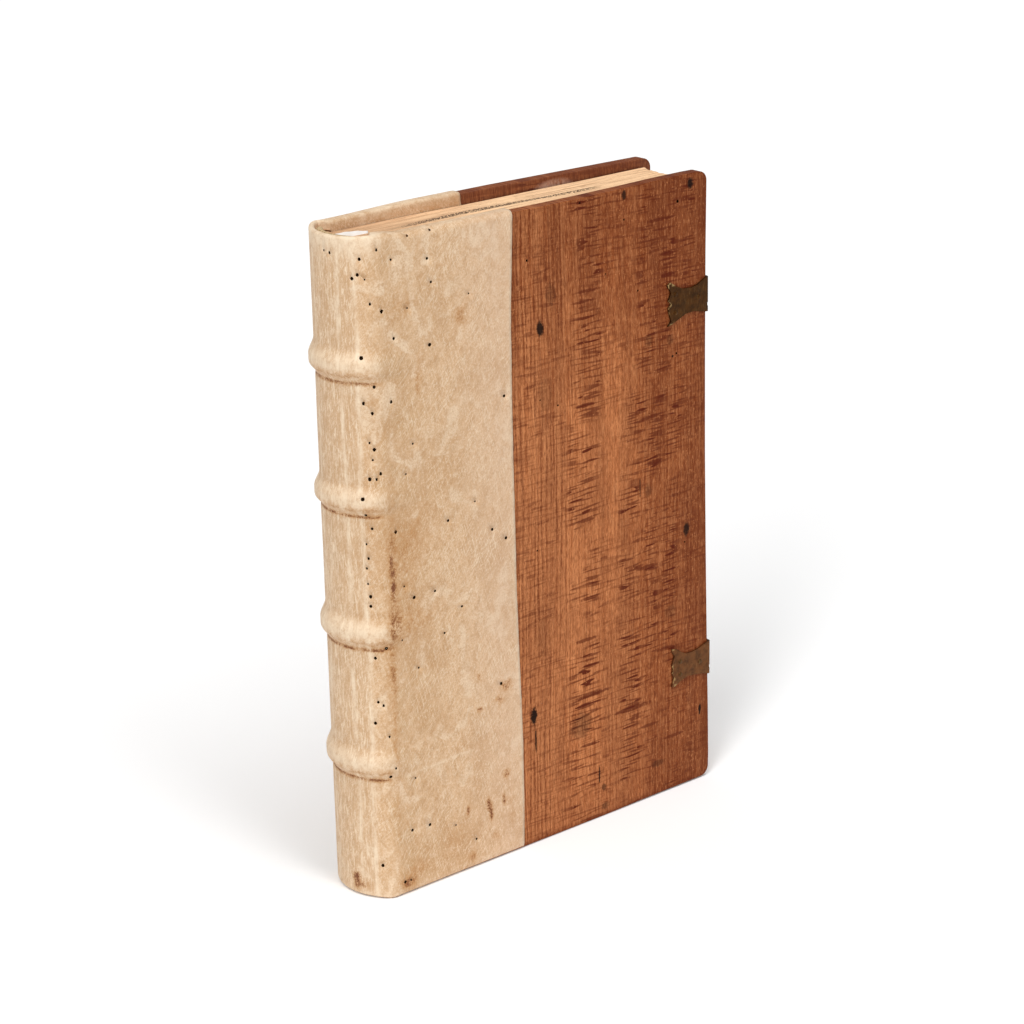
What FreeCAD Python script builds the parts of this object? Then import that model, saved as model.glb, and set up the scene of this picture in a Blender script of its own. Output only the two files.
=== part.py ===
"""An old folio book in a quarter binding, standing on its tail: two laced-on wooden boards, a skin over
the spine and a third of each board, raised bands, and two brass catches on the front board.

Millimetres. The book is built with x from the joint to the fore-edge, y through its thickness with the
front board at -y, and z from tail to head. The finished pieces are then moved together, so that the
origin is the middle of the ground under the book.
"""

import FreeCAD
import Part

import math
import os

from FreeCAD import Vector

# Boards
BOARD_HEIGHT = 299.0
BOARD_WIDTH = 186.3
BACK_BOARD_WIDTH = 182.8
BOARD_THICKNESS = 6.0
BOARD_CORNER_RADIUS = 5.0
BOARD_OUTER_ROUND = 2.0
BOARD_INNER_ROUND = 0.8
THICKNESS_OVER_BOARDS = 40.0

# Skin over the spine and the boards
SKIN_THICKNESS = 0.8
TURN_IN_THICKNESS = 0.6
TURN_IN_DEPTH = 15.0
FRONT_SKIN_WIDTH = 70.8
BACK_SKIN_WIDTH = 73.4
CAP_THICKNESS = 2.4
CAP_ROUND = 0.7

# Rounded spine, as a shoulder arc on each side of a flatter crown arc
SPINE_RISE = 14.7
SHOULDER_RADIUS = 11.0
JOINT_GAP = 0.4

# Raised bands, by their heights above the tail of the boards as shares of the boards' height
BAND_SHARES = (0.2157, 0.4197, 0.6187, 0.8177)
BAND_RELIEF = 2.6
BAND_RELIEF_AT_JOINT = 0.5
SUPPORT_WIDTH = 10.0
BAND_SKIN_SPREAD = 2.0
BAND_SECTIONS = 9
SUPPORT_TO_LINING = 0.5
LINING_THICKNESS = 0.3

# Lacing of the supports into the boards
CHANNEL_DEPTH = 2.8
CHANNEL_LENGTH = 26.0
SLIP_END_CLEARANCE = 0.2
PEG_RADIUS = 2.25
PEG_FROM_CHANNEL_END = 5.0

# Pages
SQUARE_AT_HEAD_AND_TAIL = 3.5
SQUARE_AT_FORE_EDGE = 8.5
FORE_EDGE_HOLLOW = 2.5
PAGES_CLEARANCE = 0.4
PASTEDOWN_THICKNESS = 0.3
PASTEDOWN_MARGIN = 3.0

# Endbands
ENDBAND_RADIUS = 1.6
ENDBAND_FROM_CAP = 0.6
ENDBAND_SHORT_OF_PAGES = 0.6

# Slip of white paper between the leaves at the head
SLIP_OF_PAPER_WIDTH = 18.0
SLIP_OF_PAPER_LENGTH = 82.0
SLIP_OF_PAPER_THICKNESS = 0.3
SLIP_OF_PAPER_STANDS = 2.4
SLIP_OF_PAPER_TEAR = 0.9
SLIP_OF_PAPER_FROM_ENDBAND = 0.6
SLIP_OF_PAPER_ROOM = 0.1

# Brass catches at the fore-edge of the front board, by their heights as shares of the board's height
CATCH_SHARES = {"lower": 0.2057, "upper": 0.8043}
CATCH_LENGTH = 24.5
CATCH_THICKNESS = 0.9
CATCH_INNER_HALF = 10.0
CATCH_OUTER_HALF = 8.2
CATCH_WAIST_HALF = 5.7
CATCH_WAIST_FROM_INNER = 12.0
CATCH_HORN_WIDTH = 1.8
CATCH_NIB_HEIGHTS = (1.9, -1.7)
CATCH_SCALLOP_DEPTH = 1.9
CATCH_NICK_DEPTH = 1.3
CATCH_LIP_DEPTH = 4.6
CATCH_ROLL_RADIUS = 0.75
CATCH_SLOT_WIDTH = 1.5
CATCH_SLOT_HEIGHT = -4.2
NAIL_PLACES = ((4.6, 3.4), (4.6, -3.6), (17.8, 0.0))
NAIL_SHANK_RADIUS = 0.6
NAIL_LENGTH_IN_BOARD = 4.2
NAIL_HEAD_RADIUS = 1.15
NAIL_HEAD_HEIGHT = 0.55

# Worked out from the sizes above
BOARD_TAIL = SKIN_THICKNESS
BOARD_HEAD = BOARD_TAIL + BOARD_HEIGHT
BOOK_HEIGHT = BOARD_HEAD + SKIN_THICKNESS
BAND_HEIGHTS = tuple(share * BOARD_HEIGHT for share in BAND_SHARES)
CATCHES = {name: share * BOARD_HEIGHT for name, share in CATCH_SHARES.items()}
BOARD_FACE = THICKNESS_OVER_BOARDS / 2
BOARD_INSIDE = BOARD_FACE - BOARD_THICKNESS
SKIN_FACE = BOARD_FACE + SKIN_THICKNESS
PAGES_TAIL = BOARD_TAIL + SQUARE_AT_HEAD_AND_TAIL
PAGES_HEAD = BOARD_HEAD - SQUARE_AT_HEAD_AND_TAIL
PAGES_FACE = BOARD_INSIDE - TURN_IN_THICKNESS - PAGES_CLEARANCE
PAGES_FORE_EDGE = BOARD_WIDTH - SQUARE_AT_FORE_EDGE
LINING_INSET = SKIN_THICKNESS + LINING_THICKNESS
HINGE_FACE = SKIN_FACE + BAND_RELIEF_AT_JOINT + 0.2
CATCH_INNER_END = BOARD_WIDTH - CATCH_LENGTH

EVERYWHERE = 1000.0


def band_centre(index):
    """Height of one raised band."""
    return BOARD_TAIL + BAND_HEIGHTS[index]


def box(x_range, y_range, z_range):
    """A block between two values along each axis."""
    lows = [min(pair) for pair in (x_range, y_range, z_range)]
    spans = [abs(pair[1] - pair[0]) for pair in (x_range, y_range, z_range)]
    return Part.makeBox(*spans, Vector(*lows))


def rod_along_y(radius, x, z, y_range):
    """A round rod through the thickness of the book."""
    low, high = min(y_range), max(y_range)
    return Part.makeCylinder(radius, high - low, Vector(x, low, z), Vector(0, 1, 0))


def near(a, b):
    return abs(a - b) < 1e-4


def middle_of(edge):
    """The point halfway along an edge."""
    return edge.valueAt((edge.FirstParameter + edge.LastParameter) / 2)


def edges_where(shape, test):
    """The edges of a shape whose corners and middle all pass a test."""
    chosen = []
    for edge in shape.Edges:
        points = [vertex.Point for vertex in edge.Vertexes] + [middle_of(edge)]
        if all(test(point) for point in points):
            chosen.append(edge)
    return chosen


def rim(shape, test):
    """The edges that pass a test, apart from those that run along the joint."""
    return [edge for edge in edges_where(shape, test) if not near(middle_of(edge).x, 0)]


def mirrored(shape):
    """The same piece for the back of the book."""
    return shape.mirror(Vector(0, 0, 0), Vector(0, 1, 0))


def crown_radius(half, rise, shoulder):
    """Radius of the crown arc that meets both shoulder arcs smoothly."""
    centre = half - shoulder
    return (rise ** 2 + centre ** 2 - shoulder ** 2) / (2 * (rise - shoulder))


def spine_wire(inset, z, swell=0.0):
    """Closed outline of the rounded spine at one height, inset from the skin, swelled where a band lies."""
    half = SKIN_FACE - inset + swell * BAND_RELIEF_AT_JOINT
    rise = SPINE_RISE - inset + swell * BAND_RELIEF
    shoulder = SHOULDER_RADIUS - inset + swell * BAND_RELIEF_AT_JOINT
    crown = crown_radius(half, rise, shoulder)
    centre = Vector(crown - rise, 0, z)
    shoulders = []
    for side in (-1, 1):
        hub = Vector(0, side * (half - shoulder), z)
        outward = (hub - centre).normalize()
        halfway = (outward + Vector(0, side, 0)).normalize()
        start = Vector(0, side * half, z)
        shoulders.append((start, hub + halfway * shoulder, hub + outward * shoulder))
    front, back = shoulders
    edges = [
        Part.Arc(*front).toShape(),
        Part.Arc(front[2], Vector(-rise, 0, z), back[2]).toShape(),
        Part.Arc(*reversed(back)).toShape(),
        Part.LineSegment(back[0], front[0]).toShape(),
    ]
    return Part.Wire(edges)


def spine_core(inset, z_range):
    """Solid between two heights with the rounded spine's outline."""
    low, high = z_range
    return Part.Face(spine_wire(inset, low)).extrude(Vector(0, 0, high - low))


def band_swell(index, inset, half_width):
    """Swelling of the spine over one band, rounded like the cord inside."""
    wires = []
    for step in range(BAND_SECTIONS):
        turn = math.pi * step / (BAND_SECTIONS - 1)
        z = band_centre(index) - half_width * math.cos(turn)
        wires.append(spine_wire(inset, z, math.sin(turn)))
    return Part.makeLoft(wires, True, True)


def spine_side(shape):
    """What lies on the spine's side of the joint gap."""
    reach = (-EVERYWHERE, EVERYWHERE)
    return shape.common(box((-EVERYWHERE, -JOINT_GAP), reach, reach))


def make_pages():
    """The leaves as one block, fanned out over the boards' spine edges, with a hollow fore-edge."""
    low = Vector(PAGES_FORE_EDGE, -PAGES_FACE, PAGES_TAIL)
    high = Vector(PAGES_FORE_EDGE, PAGES_FACE, PAGES_TAIL)
    hollow = Part.Arc(low, Vector(PAGES_FORE_EDGE - FORE_EDGE_HOLLOW, 0, PAGES_TAIL), high).toShape()
    inner_low = Vector(-JOINT_GAP, -PAGES_FACE, PAGES_TAIL)
    inner_high = Vector(-JOINT_GAP, PAGES_FACE, PAGES_TAIL)
    outline = [
        hollow,
        Part.LineSegment(high, inner_high).toShape(),
        Part.LineSegment(inner_high, inner_low).toShape(),
        Part.LineSegment(inner_low, low).toShape(),
    ]
    leaves = Part.Face(Part.Wire(outline)).extrude(Vector(0, 0, PAGES_HEAD - PAGES_TAIL))
    back = spine_side(spine_core(LINING_INSET, (PAGES_TAIL, PAGES_HEAD)))
    room = SLIP_OF_PAPER_ROOM
    start, depth = slip_of_paper_start(), SLIP_OF_PAPER_THICKNESS / 2 + room
    slit = box(
        (start - room, start + SLIP_OF_PAPER_WIDTH + room),
        (-depth, depth),
        (slip_of_paper_foot(), PAGES_HEAD + 1),
    )
    return leaves.fuse(back).cut(slit).removeSplitter()


def endband_inset():
    """Distance of the endband's middle line from the face of the skin."""
    return CAP_THICKNESS + ENDBAND_FROM_CAP + ENDBAND_RADIUS


def slip_of_paper_start():
    """Edge of the paper slip nearest the spine, just past the endband."""
    past_endband = endband_inset() + ENDBAND_RADIUS + SLIP_OF_PAPER_FROM_ENDBAND
    return -SPINE_RISE + past_endband


def slip_of_paper_foot():
    return PAGES_HEAD + SLIP_OF_PAPER_STANDS - SLIP_OF_PAPER_LENGTH


def make_slip_of_paper():
    """A narrow white slip, torn a little askew at its upper edge."""
    start = slip_of_paper_start()
    end = start + SLIP_OF_PAPER_WIDTH
    foot = slip_of_paper_foot()
    top = foot + SLIP_OF_PAPER_LENGTH
    y = -SLIP_OF_PAPER_THICKNESS / 2
    corners = [
        Vector(start, y, foot),
        Vector(end, y, foot),
        Vector(end, y, top - SLIP_OF_PAPER_TEAR),
        Vector(start, y, top),
        Vector(start, y, foot),
    ]
    return Part.Face(Part.makePolygon(corners)).extrude(Vector(0, SLIP_OF_PAPER_THICKNESS, 0))


def make_endband(at_head):
    """A round core that follows the spine on the head or tail of the leaves."""
    crown = crown_radius(SKIN_FACE, SPINE_RISE, SHOULDER_RADIUS)
    reach = crown - endband_inset()
    z = PAGES_HEAD + ENDBAND_RADIUS if at_head else PAGES_TAIL - ENDBAND_RADIUS
    spread = math.degrees(math.asin((PAGES_FACE - ENDBAND_SHORT_OF_PAGES) / reach))
    axis = Vector(crown - SPINE_RISE, 0, z)
    ring = Part.Wire(Part.makeCircle(ENDBAND_RADIUS, axis - Vector(reach, 0, 0), Vector(0, 1, 0)))
    turned = Part.Face(ring)
    turned.rotate(axis, Vector(0, 0, 1), -spread)
    return turned.revolve(axis, Vector(0, 0, 1), 2 * spread)


def make_lining(index):
    """A strip of parchment on the back of the leaves in one panel between the bands."""
    clear = SUPPORT_WIDTH / 2 + SUPPORT_TO_LINING
    low = PAGES_TAIL if index == 0 else band_centre(index - 1) + clear
    high = PAGES_HEAD if index == len(BAND_HEIGHTS) else band_centre(index) - clear
    outer = spine_core(SKIN_THICKNESS, (low, high))
    return spine_side(outer.cut(spine_core(LINING_INSET, (low, high))))


def make_support(index):
    """A sewing support across the back of the leaves, under one raised band."""
    half = SUPPORT_WIDTH / 2
    span = (band_centre(index) - half, band_centre(index) + half)
    solid = spine_core(SKIN_THICKNESS, span).fuse(band_swell(index, SKIN_THICKNESS, half))
    return spine_side(solid.cut(spine_core(LINING_INSET, span))).removeSplitter()


def make_spine_skin():
    """The skin round the spine from joint to joint, over the bands, doubled at the head and tail caps."""
    outer = spine_core(0, (0, BOOK_HEIGHT))
    caps = rim(outer, lambda p: near(p.z, 0) or near(p.z, BOOK_HEIGHT))
    outer = outer.makeFillet(CAP_ROUND, caps)
    cap_low, cap_high = PAGES_TAIL - JOINT_GAP, PAGES_HEAD + JOINT_GAP
    inner = spine_core(SKIN_THICKNESS, (cap_low, cap_high))
    inner = inner.fuse(spine_core(CAP_THICKNESS, (-1, BOOK_HEIGHT + 1)))
    for index in range(len(BAND_HEIGHTS)):
        outer = outer.fuse(band_swell(index, 0, SUPPORT_WIDTH / 2 + BAND_SKIN_SPREAD))
        inner = inner.fuse(band_swell(index, SKIN_THICKNESS, SUPPORT_WIDTH / 2))
    return spine_side(outer.cut(inner)).removeSplitter()


def plain_board(width):
    """A board on the front side, before it is cut for the lacing and the nails."""
    board = box((0, width), (-BOARD_FACE, -BOARD_INSIDE), (BOARD_TAIL, BOARD_HEAD))
    ends = (BOARD_TAIL, BOARD_HEAD)
    corners = edges_where(board, lambda p: near(p.x, width) and any(near(p.z, end) for end in ends))
    board = board.makeFillet(BOARD_CORNER_RADIUS, corners)
    board = board.makeFillet(BOARD_OUTER_ROUND, rim(board, lambda p: near(p.y, -BOARD_FACE)))
    return board.makeFillet(BOARD_INNER_ROUND, rim(board, lambda p: near(p.y, -BOARD_INSIDE)))


def make_board(width, with_catches):
    """One board, with a channel and a hole for each laced support, and nail holes under the catches."""
    board = plain_board(width)
    for index in range(len(BAND_HEIGHTS)):
        board = board.cut(lacing_channel(index)).cut(peg_rod(index))
    if with_catches:
        for height in CATCHES.values():
            for along, up in NAIL_PLACES:
                x, z = CATCH_INNER_END + along, BOARD_TAIL + height + up
                reach = (-BOARD_FACE - 1, -BOARD_FACE + NAIL_LENGTH_IN_BOARD)
                board = board.cut(rod_along_y(NAIL_SHANK_RADIUS, x, z, reach))
    return board


def lacing_channel(index):
    """The channel in a board's outer face that one slip lies in."""
    half = SUPPORT_WIDTH / 2
    z = band_centre(index)
    return box((0, CHANNEL_LENGTH), (-BOARD_FACE, -BOARD_FACE + CHANNEL_DEPTH), (z - half, z + half))


def peg_rod(index):
    """The round peg through the board and the end of one slip."""
    x = CHANNEL_LENGTH - PEG_FROM_CHANNEL_END
    return rod_along_y(PEG_RADIUS, x, band_centre(index), (-BOARD_FACE, -BOARD_INSIDE))


def make_slip(index):
    """The end of a sewing support, laid in its channel in the board."""
    half = SUPPORT_WIDTH / 2
    z = band_centre(index)
    x_range = (JOINT_GAP, CHANNEL_LENGTH - SLIP_END_CLEARANCE)
    slip = box(x_range, (-BOARD_FACE, -BOARD_FACE + CHANNEL_DEPTH), (z - half, z + half))
    return slip.cut(peg_rod(index))


def make_board_skin(width):
    """The skin over the spine side of a board, turned in round its head and tail edges."""
    inside = -BOARD_INSIDE + TURN_IN_THICKNESS
    skin = box((0, width), (-SKIN_FACE, inside), (0, BOOK_HEIGHT))
    outer_fold = (-SKIN_FACE, BOARD_OUTER_ROUND + SKIN_THICKNESS)
    inner_fold = (inside, BOARD_INNER_ROUND + TURN_IN_THICKNESS)
    for y, radius in (outer_fold, inner_fold):
        folds = edges_where(skin, lambda p: near(p.y, y) and (near(p.z, 0) or near(p.z, BOOK_HEIGHT)))
        skin = skin.makeFillet(radius, folds)
    bare = box(
        (-1, width + 1),
        (-BOARD_INSIDE, inside + 1),
        (BOARD_TAIL + TURN_IN_DEPTH, BOARD_HEAD - TURN_IN_DEPTH),
    )
    return skin.cut(plain_board(BOARD_WIDTH)).cut(bare)


def make_pastedown():
    """The leaf pasted to the inside of a board, between the skin's turn-ins."""
    return box(
        (PASTEDOWN_MARGIN, PAGES_FORE_EDGE),
        (-BOARD_INSIDE, -BOARD_INSIDE + PASTEDOWN_THICKNESS),
        (BOARD_TAIL + TURN_IN_DEPTH, BOARD_HEAD - TURN_IN_DEPTH),
    )


def catch_outline(height):
    """The catch's cut shape on the board's face: two hollow long sides and a fretted inner end."""
    z = BOARD_TAIL + height
    x0 = CATCH_INNER_END
    x_end = BOARD_WIDTH + CATCH_THICKNESS
    waist = x0 + CATCH_WAIST_FROM_INNER
    upper, lower = CATCH_NIB_HEIGHTS

    def at(x, up):
        return Vector(x, 0, z + up)

    def arc(a, b, c):
        return Part.Arc(a, b, c).toShape()

    def line(a, b):
        return Part.LineSegment(a, b).toShape()

    horn = x0 + CATCH_HORN_WIDTH
    horn_drop = CATCH_HORN_WIDTH / 2
    top_tip, top_in = at(horn, CATCH_INNER_HALF), at(x0, CATCH_INNER_HALF - horn_drop)
    low_tip, low_in = at(horn, -CATCH_INNER_HALF), at(x0, -CATCH_INNER_HALF + horn_drop)
    top_end, low_end = at(x_end, CATCH_OUTER_HALF), at(x_end, -CATCH_OUTER_HALF)
    nib_upper, nib_lower = at(x0, upper), at(x0, lower)
    scallop = x0 + CATCH_SCALLOP_DEPTH
    middle_upper = (upper + CATCH_INNER_HALF - horn_drop) / 2
    middle_lower = (lower - CATCH_INNER_HALF + horn_drop) / 2
    edges = [
        arc(top_tip, at(waist, CATCH_WAIST_HALF), top_end),
        line(top_end, low_end),
        arc(low_end, at(waist, -CATCH_WAIST_HALF), low_tip),
        line(low_tip, low_in),
        arc(low_in, at(scallop, middle_lower), nib_lower),
        arc(nib_lower, at(x0 + CATCH_NICK_DEPTH, (upper + lower) / 2), nib_upper),
        arc(nib_upper, at(scallop, middle_upper), top_in),
        line(top_in, top_tip),
    ]
    return Part.Wire(edges)


def make_catch(height):
    """A brass catch: a sheet on the board's face, bent over its rounded fore-edge into a rolled lip."""
    z = BOARD_TAIL + height
    reach = (z - EVERYWHERE, z + EVERYWHERE)
    lip_end = -BOARD_FACE - CATCH_THICKNESS + CATCH_LIP_DEPTH
    grown = box((0, BOARD_WIDTH + CATCH_THICKNESS), (-BOARD_FACE - CATCH_THICKNESS, 0), reach)
    outside = (BOARD_WIDTH + CATCH_THICKNESS, -BOARD_FACE - CATCH_THICKNESS)
    bend = edges_where(grown, lambda p: near(p.x, outside[0]) and near(p.y, outside[1]))
    grown = grown.makeFillet(BOARD_OUTER_ROUND + CATCH_THICKNESS, bend)
    wood = box((-1, BOARD_WIDTH), (-BOARD_FACE, 1), reach)
    arris = edges_where(wood, lambda p: near(p.x, BOARD_WIDTH) and near(p.y, -BOARD_FACE))
    wood = wood.makeFillet(BOARD_OUTER_ROUND, arris)
    prism = Part.Face(catch_outline(height)).extrude(Vector(0, lip_end + EVERYWHERE, 0))
    prism.translate(Vector(0, -EVERYWHERE, 0))
    catch = grown.cut(wood).common(prism)
    roll_foot = Vector(outside[0], lip_end - CATCH_ROLL_RADIUS, z - CATCH_OUTER_HALF)
    roll = Part.makeCylinder(CATCH_ROLL_RADIUS, 2 * CATCH_OUTER_HALF, roll_foot)
    catch = catch.fuse(roll.common(box((BOARD_WIDTH, EVERYWHERE), (-EVERYWHERE, EVERYWHERE), reach)))
    slot_low = z + CATCH_SLOT_HEIGHT - CATCH_SLOT_WIDTH / 2
    slot = box(
        (BOARD_WIDTH + CATCH_THICKNESS / 2, EVERYWHERE),
        (-BOARD_FACE, EVERYWHERE),
        (slot_low, slot_low + CATCH_SLOT_WIDTH),
    )
    catch = catch.cut(slot)
    for along, up in NAIL_PLACES:
        catch = catch.cut(rod_along_y(NAIL_SHANK_RADIUS, CATCH_INNER_END + along, z + up, (-EVERYWHERE, 0)))
    return catch.removeSplitter()


def make_nail(height, place):
    """A small nail with a domed head on the catch and its shank in the board."""
    along, up = place
    x, z = CATCH_INNER_END + along, BOARD_TAIL + height + up
    seat = -BOARD_FACE - CATCH_THICKNESS
    top = Vector(x, seat - NAIL_HEAD_HEIGHT, z)
    edge_of_head = Vector(x + NAIL_HEAD_RADIUS, seat, z)
    bulge = math.sqrt(0.5)
    over = Vector(x + NAIL_HEAD_RADIUS * bulge, seat - NAIL_HEAD_HEIGHT * bulge, z)
    end = -BOARD_FACE + NAIL_LENGTH_IN_BOARD
    corners = [
        edge_of_head,
        Vector(x + NAIL_SHANK_RADIUS, seat, z),
        Vector(x + NAIL_SHANK_RADIUS, end, z),
        Vector(x, end, z),
        top,
    ]
    edges = [Part.Arc(top, over, edge_of_head).toShape()]
    edges += [Part.LineSegment(a, b).toShape() for a, b in zip(corners[:-1], corners[1:])]
    return Part.Face(Part.Wire(edges)).revolve(Vector(x, 0, z), Vector(0, 1, 0), 360)


def make_parts():
    """Every piece by its name, in the book's own coordinates."""
    parts = {
        "text_block": make_pages(),
        "head_endband_core": make_endband(True),
        "tail_endband_core": make_endband(False),
        "paper_slip": make_slip_of_paper(),
        "spine_skin": make_spine_skin(),
        "front_board": make_board(BOARD_WIDTH, with_catches=True),
        "back_board": mirrored(make_board(BACK_BOARD_WIDTH, with_catches=False)),
        "front_board_skin": make_board_skin(FRONT_SKIN_WIDTH),
        "back_board_skin": mirrored(make_board_skin(BACK_SKIN_WIDTH)),
        "front_pastedown": make_pastedown(),
        "back_pastedown": mirrored(make_pastedown()),
    }
    for index in range(len(BAND_HEIGHTS) + 1):
        parts[f"spine_lining_{index + 1}"] = make_lining(index)
    for index in range(len(BAND_HEIGHTS)):
        number = index + 1
        parts[f"sewing_support_{number}"] = make_support(index)
        parts[f"front_slip_{number}"] = make_slip(index)
        parts[f"front_peg_{number}"] = peg_rod(index)
        parts[f"back_slip_{number}"] = mirrored(make_slip(index))
        parts[f"back_peg_{number}"] = mirrored(peg_rod(index))
    for name, height in CATCHES.items():
        parts[f"{name}_catch"] = make_catch(height)
        for number, place in enumerate(NAIL_PLACES, 1):
            parts[f"{name}_catch_nail_{number}"] = make_nail(height, place)
    return parts


def ground_offset(parts):
    """The move that brings the middle of the ground under the book to the origin."""
    bounds = Part.makeCompound(list(parts.values())).optimalBoundingBox(False, False)
    return Vector(-(bounds.XMin + bounds.XMax) / 2, -(bounds.YMin + bounds.YMax) / 2, -bounds.ZMin)


def main():
    parts = make_parts()
    offset = ground_offset(parts)
    os.makedirs("parts", exist_ok=True)
    for name, shape in parts.items():
        shape.translate(offset)
        shape.exportStep(f"parts/{name}.step")
        state = "valid" if shape.isValid() else "not valid"
        print(f"{name}: {state}, {len(shape.Solids)} solid, {shape.Volume / 1000:.3f} cm3")
    print("moved by", [round(value, 4) for value in offset])


if __name__ == "__main__":
    main()
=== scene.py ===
"""The looks of an old folio in a quarter binding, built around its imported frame.

Sizes are in millimetres in the book's own frame until a piece is finished: x runs from the joint to the
fore-edge, y from the front board to the back board, and z from tail to head.
"""

import math

import bmesh
import bpy
import numpy as np
from bpy.props import FloatProperty, FloatVectorProperty, PointerProperty
from bpy.types import Operator, Panel, PropertyGroup
from mathutils import Matrix, Vector, noise


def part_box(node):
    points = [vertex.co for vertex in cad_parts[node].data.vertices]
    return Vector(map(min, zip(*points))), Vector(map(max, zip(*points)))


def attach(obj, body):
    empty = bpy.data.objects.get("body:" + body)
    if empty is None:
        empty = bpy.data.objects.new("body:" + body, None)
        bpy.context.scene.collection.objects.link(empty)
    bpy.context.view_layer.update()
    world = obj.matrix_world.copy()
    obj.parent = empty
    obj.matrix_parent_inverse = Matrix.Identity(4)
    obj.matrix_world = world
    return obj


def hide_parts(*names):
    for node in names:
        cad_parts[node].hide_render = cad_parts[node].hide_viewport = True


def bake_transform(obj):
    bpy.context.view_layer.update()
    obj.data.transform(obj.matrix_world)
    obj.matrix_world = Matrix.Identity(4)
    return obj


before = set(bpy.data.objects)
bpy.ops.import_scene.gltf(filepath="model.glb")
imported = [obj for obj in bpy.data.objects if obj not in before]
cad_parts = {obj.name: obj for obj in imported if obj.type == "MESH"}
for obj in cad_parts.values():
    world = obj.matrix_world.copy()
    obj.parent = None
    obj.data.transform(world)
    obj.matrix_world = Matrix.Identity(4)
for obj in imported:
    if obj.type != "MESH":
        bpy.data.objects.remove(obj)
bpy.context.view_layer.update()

bl_info = {
    "name": "Old folio in a quarter binding",
    "version": (1, 0, 0),
    "blender": (4, 5, 0),
    "location": "View3D > Sidebar > Folio",
    "description": "Builds the skin, boards, leaves, catches and stage of an old book",
    "category": "Add Mesh",
}

MM = 0.001
FRONT_LOW, FRONT_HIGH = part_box("front_board")
BACK_LOW, BACK_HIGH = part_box("back_board")
LEAVES_LOW, LEAVES_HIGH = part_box("text_block")
JOINT_X = FRONT_LOW.x
MIDDLE_Y = (FRONT_LOW.y + BACK_HIGH.y) / 2
TO_WORLD = Matrix.Translation((JOINT_X, MIDDLE_Y, 0)) @ Matrix.Scale(MM, 4)

# Sizes of the frame, in the book's millimetres
BOOK_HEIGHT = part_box("spine_skin")[1].z / MM
BOARD_FACE = (BACK_HIGH.y - FRONT_LOW.y) / 2 / MM
BOARD_THICKNESS = (FRONT_HIGH.y - FRONT_LOW.y) / MM
FRONT_WIDTH = (FRONT_HIGH.x - FRONT_LOW.x) / MM
BACK_WIDTH = (BACK_HIGH.x - JOINT_X) / MM
BOARD_TAIL, BOARD_HEAD = FRONT_LOW.z / MM, FRONT_HIGH.z / MM
SKIN = 0.8
SKIN_FACE = BOARD_FACE + SKIN
TURN_IN = 0.6
FRONT_SKIN_WIDTH = (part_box("front_board_skin")[1].x - JOINT_X) / MM
BACK_SKIN_WIDTH = (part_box("back_board_skin")[1].x - JOINT_X) / MM
SPINE_RISE = 14.7
SHOULDER = 11.0
LEAVES_TAIL, LEAVES_HEAD = LEAVES_LOW.z / MM, LEAVES_HIGH.z / MM
LEAVES_FACE = 13.0
LEAVES_EDGE = (LEAVES_HIGH.x - JOINT_X) / MM
CATCH_SHEET = 0.9
JOINT_BEND = 2.5

# The crown arc of the spine meets both shoulder arcs smoothly
HUB = SKIN_FACE - SHOULDER
CROWN = (SPINE_RISE ** 2 + HUB ** 2 - SHOULDER ** 2) / (2 * (SPINE_RISE - SHOULDER))
CROWN_X = CROWN - SPINE_RISE
MEET = math.atan2(HUB, CROWN_X)
SHOULDER_SPAN = SHOULDER * (math.pi / 2 - MEET)
HALF_SPINE = SHOULDER_SPAN + CROWN * MEET
BACK_SEAM = -2 * HALF_SPINE + 4.6

# Bands: height of the middle, half width
BANDS = ((64.9, 7.3), (126.0, 7.2), (186.0, 6.6), (245.0, 7.1))

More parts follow.
